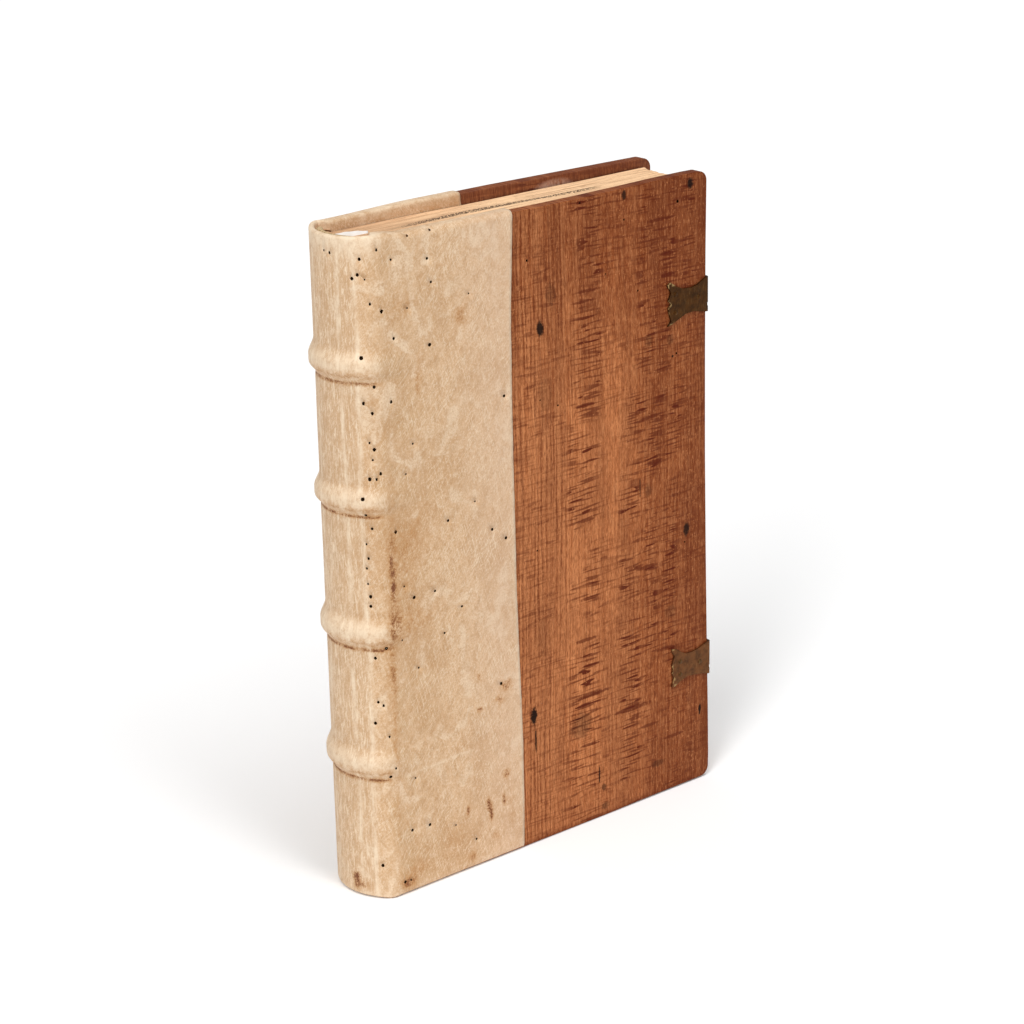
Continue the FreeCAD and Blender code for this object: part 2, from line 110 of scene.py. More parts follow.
# Insect holes: way round from the front joint, height, radius
SKIN_HOLES = (
    (-8.4, 196.3, 0.8), (-9.7, 249.5, 0.8), (-6.0, 209.3, 0.75), (-5.1, 236.5, 0.65), (-9.7, 85.5, 0.7),
    (-0.5, 268.3, 0.8), (-3.6, 198.5, 0.7), (-4.4, 59.3, 0.7), (-5.5, 196.1, 0.6), (-10.6, 180.3, 0.6),
    (-10.0, 143.5, 0.75), (-5.5, 272.1, 0.6), (-9.3, 16.5, 0.75), (58.7, 85.5, 0.75), (-11.2, 188.1, 0.8),
    (2.7, 228.8, 0.7), (5.7, 256.3, 0.65), (-6.3, 93.1, 0.6), (-6.3, 225.1, 0.7), (-10.3, 140.1, 0.65),
    (-8.2, 174.3, 0.6), (-9.0, 115.3, 0.65), (-9.7, 229.5, 0.75), (63.9, 218.5, 0.65), (15.9, 29.8, 0.7),
    (24.0, 286.5, 0.6), (24.1, 249.3, 0.8), (63.3, 153.5, 0.7), (55.6, 159.3, 0.65), (31.2, 169.3, 0.6),
    (-9.2, 291.1, 0.65), (2.6, 170.3, 0.75), (-4.1, 119.5, 0.7), (11.4, 139.1, 0.75), (-10.3, 160.8, 0.6),
    (25.7, 276.1, 0.55), (-8.5, 94.8, 0.6), (-7.8, 212.3, 0.5), (-6.8, 204.8, 0.45), (6.0, 30.3, 0.65),
    (-10.3, 284.5, 0.7), (-2.2, 63.1, 0.5), (42.2, 14.1, 0.5), (-11.2, 156.3, 0.5), (-10.9, 167.3, 0.45),
    (-11.5, 283.1, 0.7), (27.4, 118.3, 0.5), (26.1, 298.2, 0.5), (-4.1, 78.1, 0.55), (14.6, 298.2, 0.5),
    (37.5, 128.1, 0.55), (-10.9, 149.3, 0.45), (4.3, 6.5, 0.5), (13.4, 208.1, 0.45), (1.2, 5.8, 0.7),
    (22.8, 139.1, 0.55), (-1.9, 294.5, 0.6), (5.8, 289.3, 0.5), (8.8, 54.8, 0.45), (4.0, 121.3, 0.4),
    (46.3, 174.5, 0.4), (30.6, 24.8, 0.4), (12.6, 106.1, 0.45), (9.2, 195.5, 0.4), (6.2, 145.5, 0.4),
    (45.7, 267.5, 0.35), (12.8, 267.3, 0.4), (-22.9, 292.8, 0.6), (-26.1, 293.3, 0.45), (-7.3, 282.5, 0.35),
)

# Stains on the skin: way round, height, spread round, spread in height, strength
SKIN_STAINS = (
    (0, 160, 2.4, 34, 0.27), (0, 156, 1.1, 4.5, 0.5), (0.3, 145.5, 1.1, 4, 0.55), (6, 150, 9, 22, 0.30),
    (16, 168, 14, 12, 0.22), (12, 128, 14, 8, 0.22), (1.5, 128, 4, 7, 0.3), (-2, 105, 3, 16, 0.25),
    (2.5, 5.5, 4.5, 2.2, 0.8), (8, 10, 8, 4, 0.35), (49.9, 28.5, 1.3, 3, 1.7), (51.2, 23.5, 0.8, 2.6, 1.3),
    (37.8, 29.3, 0.9, 1.9, 1.5), (58.7, 28.5, 0.7, 2.2, 1.3), (60.3, 41, 2, 1.7, 1.2), (40, 6, 1.6, 3.5, 0.6),
    (54, 12, 2.6, 2, 0.45), (45.9, 76.5, 1, 1.2, 1.3), (46.5, 92, 1, 1.4, 0.8), (62, 84, 3.4, 2.8, 0.7),
    (57.5, 78, 2.6, 3.2, 0.5), (-1.2, 90, 1.6, 50, 0.3), (-22.6, 8, 2, 3.6, 1.3), (-19.5, 5.5, 4, 3, 0.45),
    (17, 234.5, 1.3, 7, 0.55), (19, 243, 2.2, 6, 0.25), (41, 258.5, 4.2, 5, 0.4), (34, 62, 6, 3, 0.12),
    (29, 16, 5, 9, 0.22), (63, 22, 3, 12, 0.2), (8, 268, 9, 6, 0.22),
)

# Marks on the front board: place from the joint, height, half width, half height, strength
BOARD_MARKS = (
    (85.7, 244.2, 2.2, 3.6, 0.95), (173.3, 130.5, 2, 3.4, 0.9), (78.1, 63.6, 1.9, 4.2, 1.1), (79, 51, 0.5, 7, 1),
    (175.3, 294.4, 2.1, 2.6, 0.95), (135.3, 295.2, 1.4, 2.2, 0.85), (182.2, 36.7, 0.8, 2.8, 1),
    (117.5, 22, 0.45, 4.6, 0.9), (121.1, 5, 2.6, 2, 0.5), (120.2, 14.9, 1.4, 1.8, 0.6), (154.8, 16.5, 4.2, 1.8, 0.4),
    (106.4, 50.3, 6.5, 6.5, 0.4), (92.3, 258.5, 3, 5, 0.3), (144.1, 157.5, 0.6, 4.8, 0.6),
    (149, 155, 2.4, 3.2, 0.35), (88, 214, 4.5, 8, 0.2), (164.6, 216, 0.6, 0.6, 1.3), (163, 224, 2.2, 2.4, 0.35),
    (84, 100, 4, 10, 0.15), (150, 226, 2.6, 2.8, 0.3), (163, 92, 4, 3.2, 0.25),
)

# Bold flecks of the wood, given in the same way
BOARD_FLECKS = (
    (157.5, 280.9, 9, 0.8, 0.75), (160, 276.4, 7, 0.6, 0.55), (152, 270, 4.5, 0.7, 0.45), (162, 264.5, 5, 0.8, 0.85),
    (162, 262, 5.4, 0.6, 0.8), (162, 259.7, 4.2, 0.7, 0.7), (161.4, 254.8, 4.6, 1.1, 0.9), (146, 254, 4, 0.7, 0.7),
    (147, 245, 4, 0.8, 0.6), (147, 234.5, 4.4, 0.7, 0.55), (112.9, 256.1, 8, 0.8, 0.7), (111, 251.6, 7, 0.7, 0.65),
    (113.8, 64.1, 12, 1, 0.75), (138.7, 49.9, 12, 1.1, 0.75), (149, 38, 7, 0.9, 0.6), (165, 28, 7, 0.9, 0.6),
    (111, 204, 6, 1, 0.8), (150, 190, 6, 0.9, 0.7), (153, 168, 5.4, 1.3, 0.85), (111, 150, 6, 1, 0.7),
    (148, 118, 6.4, 1.1, 0.7), (113, 112, 6, 0.9, 0.7), (110, 92, 7, 1, 0.7), (160, 74, 6, 1, 0.6),
)

# Rest of paste on the inside of the back board, given in the same way
PASTE_SPOTS = ((124.0, 295.6, 11.0, 3.4, 1.0),)

# Where rays show on a board: from and to along its width, and how much nearer to the spine in its lower half
RAY_COLUMNS = ((102.0, 123.0, 3.0), (142.0, 157.0, 12.0), (157.0, 168.0, 12.0), (169.0, 180.0, 12.0))

# Insect holes in the front board: place from the joint, height, radius
BOARD_HOLES = (
    (109.4, 295.9, 0.55), (167.7, 287.3, 0.75), (143.3, 250.6, 0.5), (166.9, 216.9, 0.55), (95.3, 207.4, 0.5),
    (85, 211.9, 0.4), (81.8, 142.6, 0.45), (78.7, 137.7, 0.5), (124, 261.7, 0.4), (135.2, 284.3, 0.5),
    (78.9, 275.7, 0.6), (172.3, 124.3, 0.45),
)

# Outlines measured on the front board: height of its head and tail edges, and place of its fore-edge
HEAD_EDGE = ((0, 298.0), (72, 298.0), (89, 297.9), (109, 297.9), (132, 298.2), (158, 298.7), (175, 298.8), (188, 298.6))
TAIL_EDGE = ((0, 0.8), (77, 0.4), (105, 0.3), (124, 0.3), (143, 0.6), (162, 0.7), (188, 0.9))
FORE_EDGE = (
    (0, 188.0), (13, 188.2), (39, 187.8), (71, 187.0), (117, 186.1), (166, 185.4), (215, 185.2), (262, 185.3),
    (300, 185.8),
)
SKIN_EDGE = ((0, 70.3), (51, 70.9), (103, 69.4), (141, 68.8), (215, 68.3), (260, 68.9), (299, 70.9))

# Catches: outline on the board from the upper inner horn round to the lower one, then the fretted end
CATCHES = {
    "upper_catch": {
        "top": (
            (160.6, 249.7), (162.5, 250.9), (166.4, 248.3), (170.6, 246.7), (175.6, 246.3), (179.5, 247.1),
            (184.8, 249.6),
        ),
        "lip": (249.8, 233.5),
        "slot": (235.8, 237.6),
        "bottom": (
            (184.8, 233.4), (181.2, 234.1), (176.9, 235.0), (172.2, 234.8), (168.0, 233.2), (163.8, 231.5),
            (160.9, 230.7),
        ),
        "fret": ((163.0, 232.8), (162.0, 235.8), (161.1, 238.8), (162.8, 240.9), (161.2, 242.4), (162.9, 246.0)),
        "nails": ((180.1, 241.0), (165.8, 236.4), (165.6, 245.0)),
    },
    "lower_catch": {
        "top": (
            (163.2, 71.6), (163.6, 72.7), (167.0, 71.6), (169.6, 69.6), (172.5, 68.2), (176.1, 68.0), (180.0, 68.4),
            (186.6, 70.4),
        ),
        "lip": (70.6, 53.9),
        "slot": (56.4, 58.2),
        "bottom": (
            (186.6, 53.9), (182.6, 55.2), (177.4, 55.9), (173.5, 56.4), (170.9, 55.7), (168.3, 55.0), (164.5, 53.1),
            (163.2, 53.4),
        ),
        "fret": ((164.5, 57.5), (163.3, 60.5), (164.2, 62.5), (163.2, 64.2), (165.0, 68.7)),
        "nails": ((181.4, 61.7), (168.6, 65.1), (168.7, 58.5)),
    },
}


# Camera that fits the photograph: place in metres, azimuth, elevation and roll in degrees, and lens in millimetres
CAMERA_PLACE = (-0.73858, -0.88795, 0.55891)
CAMERA_ANGLES = (39.711, -19.277, -1.219)
CAMERA_LENS = 95.616

# Half the width of the floor, in metres
FLOOR_SIZE = 12.0


def linear(hex_colour):
    """An sRGB hex colour as linear red, green and blue."""
    channels = (int(hex_colour[i:i + 2], 16) / 255 for i in (1, 3, 5))
    return tuple(c / 12.92 if c <= 0.04045 else ((c + 0.055) / 1.055) ** 2.4 for c in channels)


def colour_property(name, description, hex_colour):
    """A colour of the panel, given as sRGB hex."""
    return FloatVectorProperty(
        name=name, description=description, subtype="COLOR", size=3, min=0, max=1, default=linear(hex_colour)
    )


class FolioSkin(PropertyGroup):
    """Colours of the tawed skin"""

    light: colour_property("Light skin", "Worn and stretched skin", "#F0DABD")
    middle: colour_property("Skin", "Most of the tawed skin", "#D7B28B")
    dark: colour_property("Handled skin", "Skin that hands have darkened", "#BF9468")
    # The stain colour also paints shade under the bands and a shadow along the foot
    stain_and_shade: colour_property("Stain", "Damp and rust stains", "#6E3519")
    # The insect hole colour is painted shade: near black, for the shade in the depth of the holes
    hole_shade: colour_property("Insect hole", "Inside of the insect holes", "#150E08")


class FolioBoards(PropertyGroup):
    """Colours of the wooden boards"""

    light: colour_property("Light wood", "Early wood", "#D98F5C")
    middle: colour_property("Wood", "Most of the wood", "#A2572C")
    dark: colour_property("Late wood", "Lines and dark edges of the wood", "#63290F")
    fleck: colour_property("Flecks", "Rays of the wood", "#581C08")
    mark: colour_property("Marks", "Knots and burnt marks", "#180B06")


class FolioLeaves(PropertyGroup):
    """Colours of the leaves"""

    paper: colour_property("Leaf edges", "Cut edges of the leaves", "#FFD5A8")
    dust: colour_property("Dust", "Dust between the leaves", "#8E5A38")
    slip: colour_property("Slip", "Slip of new paper", "#F7F4F0")


class FolioCatches(PropertyGroup):
    """Colours and sheet of the catches"""

    upper: colour_property("Upper catch", "Darkened brass", "#553310")
    lower: colour_property("Lower catch", "Worn brass", "#7A4D2B")
    # Also the colour of the painted glints, with rubbed brass, on the fretted end of each catch
    bright: colour_property("Rubbed brass", "Brass rubbed bright", "#D9B77C")
    sheet: FloatProperty(
        name="Sheet", description="Thickness of the brass", default=CATCH_SHEET * MM, min=0.0003, unit="LENGTH"
    )


class FolioStage(PropertyGroup):
    """Floor and light"""

    floor: colour_property("Floor", "Plain pale floor", "#F4F4F4")
    key: FloatProperty(name="Key light", description="Strength of the larger light", default=1.5, min=0)


def feed(tree, sockets_and_values):
    """Links each input socket, or sets its value."""
    for socket, value in sockets_and_values:
        if isinstance(value, bpy.types.NodeSocket):
            tree.links.new(value, socket)
        else:
            socket.default_value = (*value, 1) if socket.type == "RGBA" else value


def add(tree, kind, *values, named=None, out=None, **settings):
    """Adds one node with its settings, and its input values or links, in order or named. Gives one of its outputs."""
    node = tree.nodes.new("ShaderNode" + kind)
    for key, value in settings.items():
        setattr(node, key, value)
    feed(tree, zip([socket for socket in node.inputs if socket.enabled], values))
    feed(tree, ((node.inputs[key], value) for key, value in (named or {}).items()))
    return node.outputs[out] if out else next(socket for socket in node.outputs if socket.enabled)


def new_material(name):
    """A new material with its tree, and the book's millimetres as a socket."""
    material = bpy.data.materials.new(name)
    material.use_nodes = True
    tree = material.node_tree
    place = add(tree, "TexCoord", out="Object")
    offset = (-JOINT_X / MM, -MIDDLE_Y / MM, 0)
    return material, tree, add(tree, "Mapping", place, offset, (0, 0, 0), (1 / MM,) * 3)


def shade(material, inputs, relief=None, strength=0.5, depth=0.2):
    """Links or sets inputs of a material's shader, and bumps it by a relief that is so many millimetres deep."""
    tree = material.node_tree
    if relief is not None:
        bump = add(tree, "Bump", named={"Strength": strength, "Distance": depth * MM, "Height": relief})
        inputs = {**inputs, "Normal": bump}
    shader = tree.nodes["Principled BSDF"]
    feed(tree, ((shader.inputs[key], value) for key, value in inputs.items()))
    return material


def product(tree, *factors):
    """Values and numbers multiplied together."""
    total = factors[0]
    for factor in factors[1:]:
        total = add(tree, "Math", total, factor, operation="MULTIPLY")
    return total


def weighted(tree, *rows):
    """The sum of values, each times its weight."""
    total = 0.0
    for value, weight in rows:
        total = add(tree, "Math", value, weight, total, operation="MULTIPLY_ADD")
    return total


def noise_of(tree, vector, scales, detail=3, roughness=0.6, distortion=0.0):
    """Noise whose lumps are so many millimetres along x, y and z."""
    at = add(tree, "Mapping", vector, (0, 0, 0), (0, 0, 0), tuple(1 / scale for scale in scales))
    inputs = {"Vector": at, "Scale": 1.0, "Detail": detail, "Roughness": roughness, "Distortion": distortion}
    return add(tree, "TexNoise", named=inputs)


def line_at(tree, value, middle, half):
    """Lines where a value passes its middle, fading to nothing at half their width."""
    off = add(tree, "Math", value, middle, operation="SUBTRACT")
    return add(tree, "MapRange", add(tree, "Math", off, operation="ABSOLUTE"), half, 0.0)


def layer(tree, base, colour, *factors):
    """The base colour with another laid over it, as strong as all the factors multiplied."""
    return add(tree, "Mix", product(tree, *factors), base, colour, data_type="RGBA")


def washes(tree, base, *rows):
    """Layers over the base. Each comes in as its value goes from one number to another, and has a full strength."""
    for value, start, end, strength, colour in rows:
        base = layer(tree, base, colour, strength, add(tree, "MapRange", value, start, end))
    return base


def spots(tree, places, across, height, ragged):
    """Soft-edged spots at measured places, each as strong as its last value."""
    total = 0.0
    for x, z, half_width, half_height, strength in places:
        ring = product(tree, ragged, 2.0)
        for value, middle, half in ((across, x, half_width), (height, z, half_height)):
            off = add(tree, "MapRange", value, middle, middle + half, clamp=False)
            ring = add(tree, "Math", off, off, ring, operation="MULTIPLY_ADD")
        spot = add(tree, "MapRange", ring, 2.3, 1.45, 0.0, strength)
        total = add(tree, "Math", total, spot, operation="MAXIMUM")
    return add(tree, "Math", total, 0.97, operation="MINIMUM")


def skin_material(props):
    """Alum-tawed skin: white and supple once, now toned by hands and dust, matt with a low polish."""
    material, tree, book = new_material("tawed_skin")
    flat = add(tree, "Mapping", add(tree, "UVMap", uv_map="skin"), (0, 0, 0), (0, 0, 0), (1 / MM,) * 3)
    way = add(tree, "SeparateXYZ", flat)
    wear, stain_and_shade = (add(tree, "Attribute", attribute_name=name, out="Fac") for name in ("wear", "stain_and_shade"))
    spine = product(tree, add(tree, "MapRange", way, -10.0, -12.5), add(tree, "MapRange", way, -46.0, -43.5))

    clouds = noise_of(tree, book, (26, 26, 34), 4)
    patches = noise_of(tree, book, (15, 15, 19), 3, 0.6, 0.6)
    mottle = noise_of(tree, book, (3.6, 3.6, 4.2), 5, 0.7)
    speck = noise_of(tree, book, (0.9, 0.9, 0.9), 3, 0.75)
    base = washes(
        tree, props.middle,
        (clouds, 0.46, 0.64, 0.7, props.dark),
        (patches, 0.46, 0.38, 0.45, props.light),
        (mottle, 0.5, 0.62, 0.6, props.dark),
        (speck, 0.5, 0.64, 0.5, props.dark),
        (speck, 0.47, 0.32, 0.5, props.light),
    )

    # Hands have turned it ochre near the joint, and it is greyer towards the wood
    by_joint, on_board = add(tree, "MapRange", way, 30.0, 3.0), add(tree, "MapRange", way, -9.0, -2.0)
    patchy = add(tree, "MapRange", patches, 0.38, 0.62)
    base = layer(tree, base, linear("#B88F5E"), 0.4, by_joint, on_board, patchy)
    base = washes(tree, base, (way, 34.0, 60.0, 0.3, linear("#DCBBA0")))

    # Stretched skin shows as cream veins and hairlines aslant over the board, with dark scores between them
    veins, hairs = (
        noise_of(tree, add(tree, "Mapping", flat, (0, 0, 0), (0, 0, turn)), scales, detail, 0.6, distortion)
        for turn, scales, detail, distortion in ((0.7, (1.8, 11, 1), 3, 0.5), (-0.25, (0.9, 16, 1), 2, 0.3))
    )
    scraped = add(tree, "MapRange", patches, 0.44, 0.58, 0.25, 1.0)
    base = layer(tree, base, props.light, 0.6, line_at(tree, veins, 0.5, 0.03), scraped)
    base = layer(tree, base, props.light, 0.6, line_at(tree, hairs, 0.59, 0.03), scraped)
    rough = add(tree, "MapRange", mottle, 0.4, 0.55)
    base = layer(tree, base, props.dark, 0.6, line_at(tree, hairs, 0.41, 0.04), scraped, rough)

    # On the spine the skin has upright brown grain, and pale creases where it has flexed
    grain = noise_of(tree, flat, (0.9, 7, 1), 4, 0.7, 0.9)
    unworn = add(tree, "MapRange", wear, 0.0, 1.0, 1.0, 0.3)
    base = layer(tree, base, props.dark, 0.95, add(tree, "MapRange", grain, 0.5, 0.68), spine, unworn)
    base = layer(tree, base, props.light, 0.85, add(tree, "MapRange", grain, 0.46, 0.36), spine)
    # Painted light: the whole spine is a little lighter, for the light that falls on it
    base = layer(tree, base, props.light, 0.1, spine)
    rubbed = product(tree, wear, add(tree, "MapRange", mottle, 0.66, 0.36))
    base = layer(tree, base, props.light, 0.8, weighted(tree, (wear, 0.35), (rubbed, 1.0)))

    # Stains, dirt and the painted shade under the bands and along the foot break up into specks
    speckled = add(tree, "MapRange", mottle, 0.38, 0.58, 0.0, 0.6), add(tree, "MapRange", speck, 0.4, 0.6, 0.2, 0.7)
    broken = product(tree, stain_and_shade, add(tree, "Math", *speckled, operation="ADD"))
    base = washes(tree, base, (broken, 0.03, 0.6, 0.75, linear("#B98248")), (broken, 0.42, 1.0, 0.9, props.stain_and_shade))

    # Pores of 0.5 mm are too fine for the render, so they are drawn at 0.9 mm
    pores = add(tree, "TexVoronoi", named={"Vector": book, "Scale": 1 / 0.9, "Randomness": 1.0}, feature="F1")
    relief = weighted(tree, (pores, 0.2), (mottle, 1.1), (veins, 0.9), (product(tree, grain, spine), 1.3))
    return shade(material, {"Base Color": base, "Roughness": 0.62, "Specular IOR Level": 0.3}, relief, 0.7, 0.35)


def hole_shade_material(props):
    """Old insect holes: painted near black for the shade in their depth, with brown dust."""
    material, tree, book = new_material("insect_hole_shade")
    base = layer(tree, props.hole_shade, linear("#33200F"), noise_of(tree, book, (0.4, 0.4, 0.4), 2, 0.5))
    return shade(material, {"Base Color": base, "Roughness": 0.95, "Specular IOR Level": 0.0})


def board_material(name, props, marks, flecks):
    """Quarter-sawn beech, stained, oiled and rubbed: upright growth lines, with rays as dark level flecks."""
    material, tree, book = new_material(name)
    across, through, height = (add(tree, "SeparateXYZ", book, out=axis) for axis in "XYZ")
    bent = weighted(tree, (noise_of(tree, book, (60, 60, 150), 2, 0.5), 10.0), (across, 1.0))
    lined = add(tree, "CombineXYZ", bent, 0.0, height)

    streaks = noise_of(tree, lined, (1.2, 1, 80), 3, 0.65)
    fibres = noise_of(tree, lined, (1.5, 1, 13), 4, 0.7, 0.4)
    broad = noise_of(tree, lined, (13, 1, 260), 2, 0.5)
    blotch = noise_of(tree, book, (20, 20, 30))
    mottle = noise_of(tree, book, (2.6, 2.6, 4.6), 4, 0.7, 0.5)
    pores = noise_of(tree, lined, (0.5, 1, 3.2), 3, 0.7)
    ragged = noise_of(tree, book, (1.3, 1.3, 1.3))
    upright = add(tree, "MapRange", across, 118.0, 88.0, 0.4, 0.9)
    base = layer(tree, props.middle, props.light, add(tree, "MapRange", streaks, 0.4, 0.62), upright)
    base = washes(
        tree, base,
        (fibres, 0.5, 0.62, 0.7, props.light),
        (fibres, 0.48, 0.34, 0.45, props.dark),
        (broad, 0.56, 0.36, 0.4, props.dark),
        (blotch, 0.42, 0.66, 0.35, props.dark),
        (mottle, 0.52, 0.66, 0.4, props.dark),
        (mottle, 0.44, 0.32, 0.4, props.light),
        (bent, 140.0, 156.0, 0.4, props.dark),
        (height, 215.0, 285.0, 0.4, props.dark),
        (height, 45.0, 10.0, 0.2, props.dark),
    )
    below, beside = add(tree, "MapRange", height, 262.0, 190.0), add(tree, "MapRange", bent, 156.0, 136.0)
    base = layer(tree, base, props.light, 0.26, below, beside)

    # Late wood ends each year in a dark line, about 2.3 mm from the next
    years_at = weighted(tree, (noise_of(tree, lined, (6, 1, 90), 2), 7.0), (bent, 1.0))
    waves = add(tree, "Math", product(tree, years_at, 2 * math.pi / 2.3), operation="SINE")
    come_and_go = add(tree, "MapRange", noise_of(tree, lined, (7, 1, 70), 2), 0.4, 0.6, 0.25, 1.1)
    near_spine = product(tree, add(tree, "MapRange", across, 112.0, 86.0, 0.3, 0.66), come_and_go)
    late, early = add(tree, "MapRange", waves, 0.25, 0.95), add(tree, "MapRange", waves, -0.3, -0.95)
    base = layer(tree, base, props.dark, late, add(tree, "MapRange", pores, 0.3, 0.52), near_spine)
    base = layer(tree, base, props.light, 0.4, early, near_spine)
    base = washes(tree, base, (pores, 0.5, 0.7, 0.8, props.dark), (pores, 0.44, 0.28, 0.8, props.light))

    # Rays are cut nearly along their length: ladders of level flecks, some of them broad and dark
    fine = add(tree, "MapRange", noise_of(tree, lined, (14, 1, 1.1), 0), 0.54, 0.62, 0.0, 0.6)
    bold = add(tree, "MapRange", noise_of(tree, lined, (11, 1, 1.9), 0), 0.65, 0.69)
    groups = add(tree, "MapRange", noise_of(tree, lined, (30, 1, 22), 1), 0.38, 0.52)
    rays = product(tree, add(tree, "Math", fine, bold, operation="MAXIMUM"), groups)
    lower = add(tree, "MapRange", height, 235.0, 165.0)
    for low, high, lean in RAY_COLUMNS:
        place = weighted(tree, (lower, lean), (across, 1.0))
        start, stop = add(tree, "MapRange", place, low, low + 3), add(tree, "MapRange", place, high, high - 3)
        base = layer(tree, base, props.fleck, 0.9, rays, start, stop)
    base = layer(tree, base, props.fleck, 0.45, rays)

    # It has small pale chips, and is darker towards its head, foot and fore-edge
    base = washes(
        tree, base,
        (ragged, 0.64, 0.7, 0.4, props.light),
        (height, BOARD_HEAD - 2.0, BOARD_HEAD - 0.9, 0.35, props.dark),
        (height, 3.5, 0.8, 0.6, props.dark),
        (across, FRONT_WIDTH - 6, FRONT_WIDTH, 0.5, props.dark),
    )

    if marks:
        base = layer(tree, base, props.fleck, spots(tree, flecks, across, height, ragged))
        base = layer(tree, base, props.mark, spots(tree, marks, across, height, ragged))
    else:
        # The inside of the back board is grey with dust and a painted sheen, and keeps a rest of paste at the head
        inside = BOARD_FACE - BOARD_THICKNESS
        inner = add(tree, "MapRange", through, inside + 0.9, inside + 0.3)
        base = layer(tree, base, linear("#7B5546"), 0.5, weighted(tree, (mottle, 0.5), (inner, 0.35)))
        paste = spots(tree, PASTE_SPOTS, across, height, mottle)
        base = layer(tree, base, linear("#C39C88"), 0.9, paste, inner, add(tree, "MapRange", mottle, 0.34, 0.56))

    roughness = add(tree, "MapRange", ragged, 0.0, 1.0, 0.36, 0.56)
    relief = weighted(tree, (streaks, 0.6), (pores, -0.9))
    inputs = {"Base Color": base, "Roughness": roughness, "Specular IOR Level": 0.05}
    return shade(material, inputs, relief, 0.7, 0.25)


def leaves_material(props):
    """Rag paper, cut and never trimmed again: warm edges with dust between the leaves."""
    material, tree, book = new_material("rag_paper_edges")
    leaf = add(tree, "Attribute", attribute_name="leaf", out="Fac")
    across, height = (add(tree, "SeparateXYZ", book, out=axis) for axis in "XZ")
    at = add(tree, "CombineXYZ", across, leaf, height)
    # Leaves of 0.2 mm are drawn at 0.4 mm, so that they show
    leaves = noise_of(tree, at, (24, 0.4, 30), 3, 0.65)
    base = washes(
        tree, props.paper,
        (leaves, 0.47, 0.64, 0.5, props.dust),
        (noise_of(tree, at, (60, 1.9, 80), 2), 0.52, 0.66, 0.45, props.dust),
        (noise_of(tree, at, (5, 0.9, 5), 4, 0.7), 0.56, 0.68, 0.5, props.dust),
        (across, 75.0, 5.0, 0.42, props.dust),
    )

    # An old line of ink on the head edge has run to an unreadable smudge
    falls, rises = weighted(tree, (across, -0.042), (3.4, 1.0)), weighted(tree, (across, 0.053), (-2.3, 1.0))
    line = add(tree, "Math", falls, rises, operation="MINIMUM")
    off_line = add(tree, "Math", add(tree, "Math", leaf, line, operation="SUBTRACT"), operation="ABSOLUTE")
    blots = noise_of(tree, at, (0.9, 0.8, 9), 2)
    inked = (
        (off_line, 1.9, 1.2), (across, 16.0, 40.0), (across, 138.0, 130.0),
        (height, LEAVES_HEAD - 2, LEAVES_HEAD - 1), (blots, 0.42, 0.5),
    )
    base = layer(tree, base, linear("#2B1A12"), 0.9, *(add(tree, "MapRange", *row) for row in inked))

    # The broad faces are the first and the last leaf: toned, and browner towards their edges
    page = add(tree, "MapRange", add(tree, "Math", leaf, operation="ABSOLUTE"), LEAVES_FACE - 0.1, LEAVES_FACE - 0.02)
    brown = linear("#B58A58")
    sheet = washes(
        tree, linear("#E9CEAE"),
        (noise_of(tree, book, (17, 17, 17), 4), 0.46, 0.74, 0.45, linear("#C59A70")),
        (noise_of(tree, book, (1.4, 1.4, 1.4), 3, 0.7), 0.5, 0.74, 0.25, linear("#CBA680")),
        (across, LEAVES_EDGE - 12, LEAVES_EDGE, 0.4, brown),
        (height, LEAVES_HEAD - 9, LEAVES_HEAD, 0.4, brown),
        (height, LEAVES_TAIL + 9, LEAVES_TAIL, 0.4, brown),
    )
    base = layer(tree, base, sheet, page)
    relief = product(tree, leaves, add(tree, "MapRange", page, 1.0, 0.0))
    return shade(material, {"Base Color": base, "Roughness": 0.85, "Specular IOR Level": 0.2}, relief, 0.9, 0.3)


def paper_material(name, light, dark, spot_mm=6.0):
    """Handmade paper: soft and matt, with a faint cloudy tone."""
    material, tree, book = new_material(name)
    clouds = noise_of(tree, book, (spot_mm,) * 3, 5, 0.65)
    base = layer(tree, light, dark, add(tree, "MapRange", clouds, 0.42, 0.75))
    felt = noise_of(tree, book, (0.7, 0.7, 0.7), 3, 0.5)
    return shade(material, {"Base Color": base, "Roughness": 0.8}, felt, 0.25, 0.15)


def fibre_material(name, light, dark, width_mm):
    """Cord, thread or plain skin that is mostly hidden: fibres across the book's thickness."""
    material, tree, book = new_material(name)
    fibres = noise_of(tree, book, (8, width_mm, width_mm), 4)
    base = layer(tree, light, dark, add(tree, "MapRange", fibres, 0.4, 0.65))
    return shade(material, {"Base Color": base, "Roughness": 0.75}, fibres)


def brass_material(name, colour, bright, rubbed):
    """Old sheet brass: brown tarnish over cut and filed metal, rubbed bright and with painted glints at points of its
    fretted end.
    """
    material, tree, book = new_material(name)
    tarnish = noise_of(tree, book, (3.5, 3.5, 3.5), 5, 0.65)
    scratch = noise_of(tree, book, (0.35, 1, 4.5))
    dark = tuple(channel * 0.42 for channel in colour)
    base = washes(tree, dark, (tarnish, 0.34, 0.6, 1.0, colour), (scratch, 0.56, 0.76, 0.16, bright))
    # Painted glints, with rubbed brass, at points on the rims of the fretted end
    base = layer(tree, base, bright, rubbed, add(tree, "Attribute", attribute_name="rubbed", out="Fac"))
    roughness = add(tree, "MapRange", tarnish, 0.0, 1.0, 0.33, 0.68)
    relief = weighted(tree, (tarnish, 0.9), (scratch, 0.2))
    return shade(material, {"Base Color": base, "Roughness": roughness, "Metallic": 0.9}, relief)


def soft_step(low, high, value):
    """0 at low, 1 at high, and smooth between them."""
    t = np.clip((value - low) / (high - low), 0, 1)
    return t * t * (3 - 2 * t)


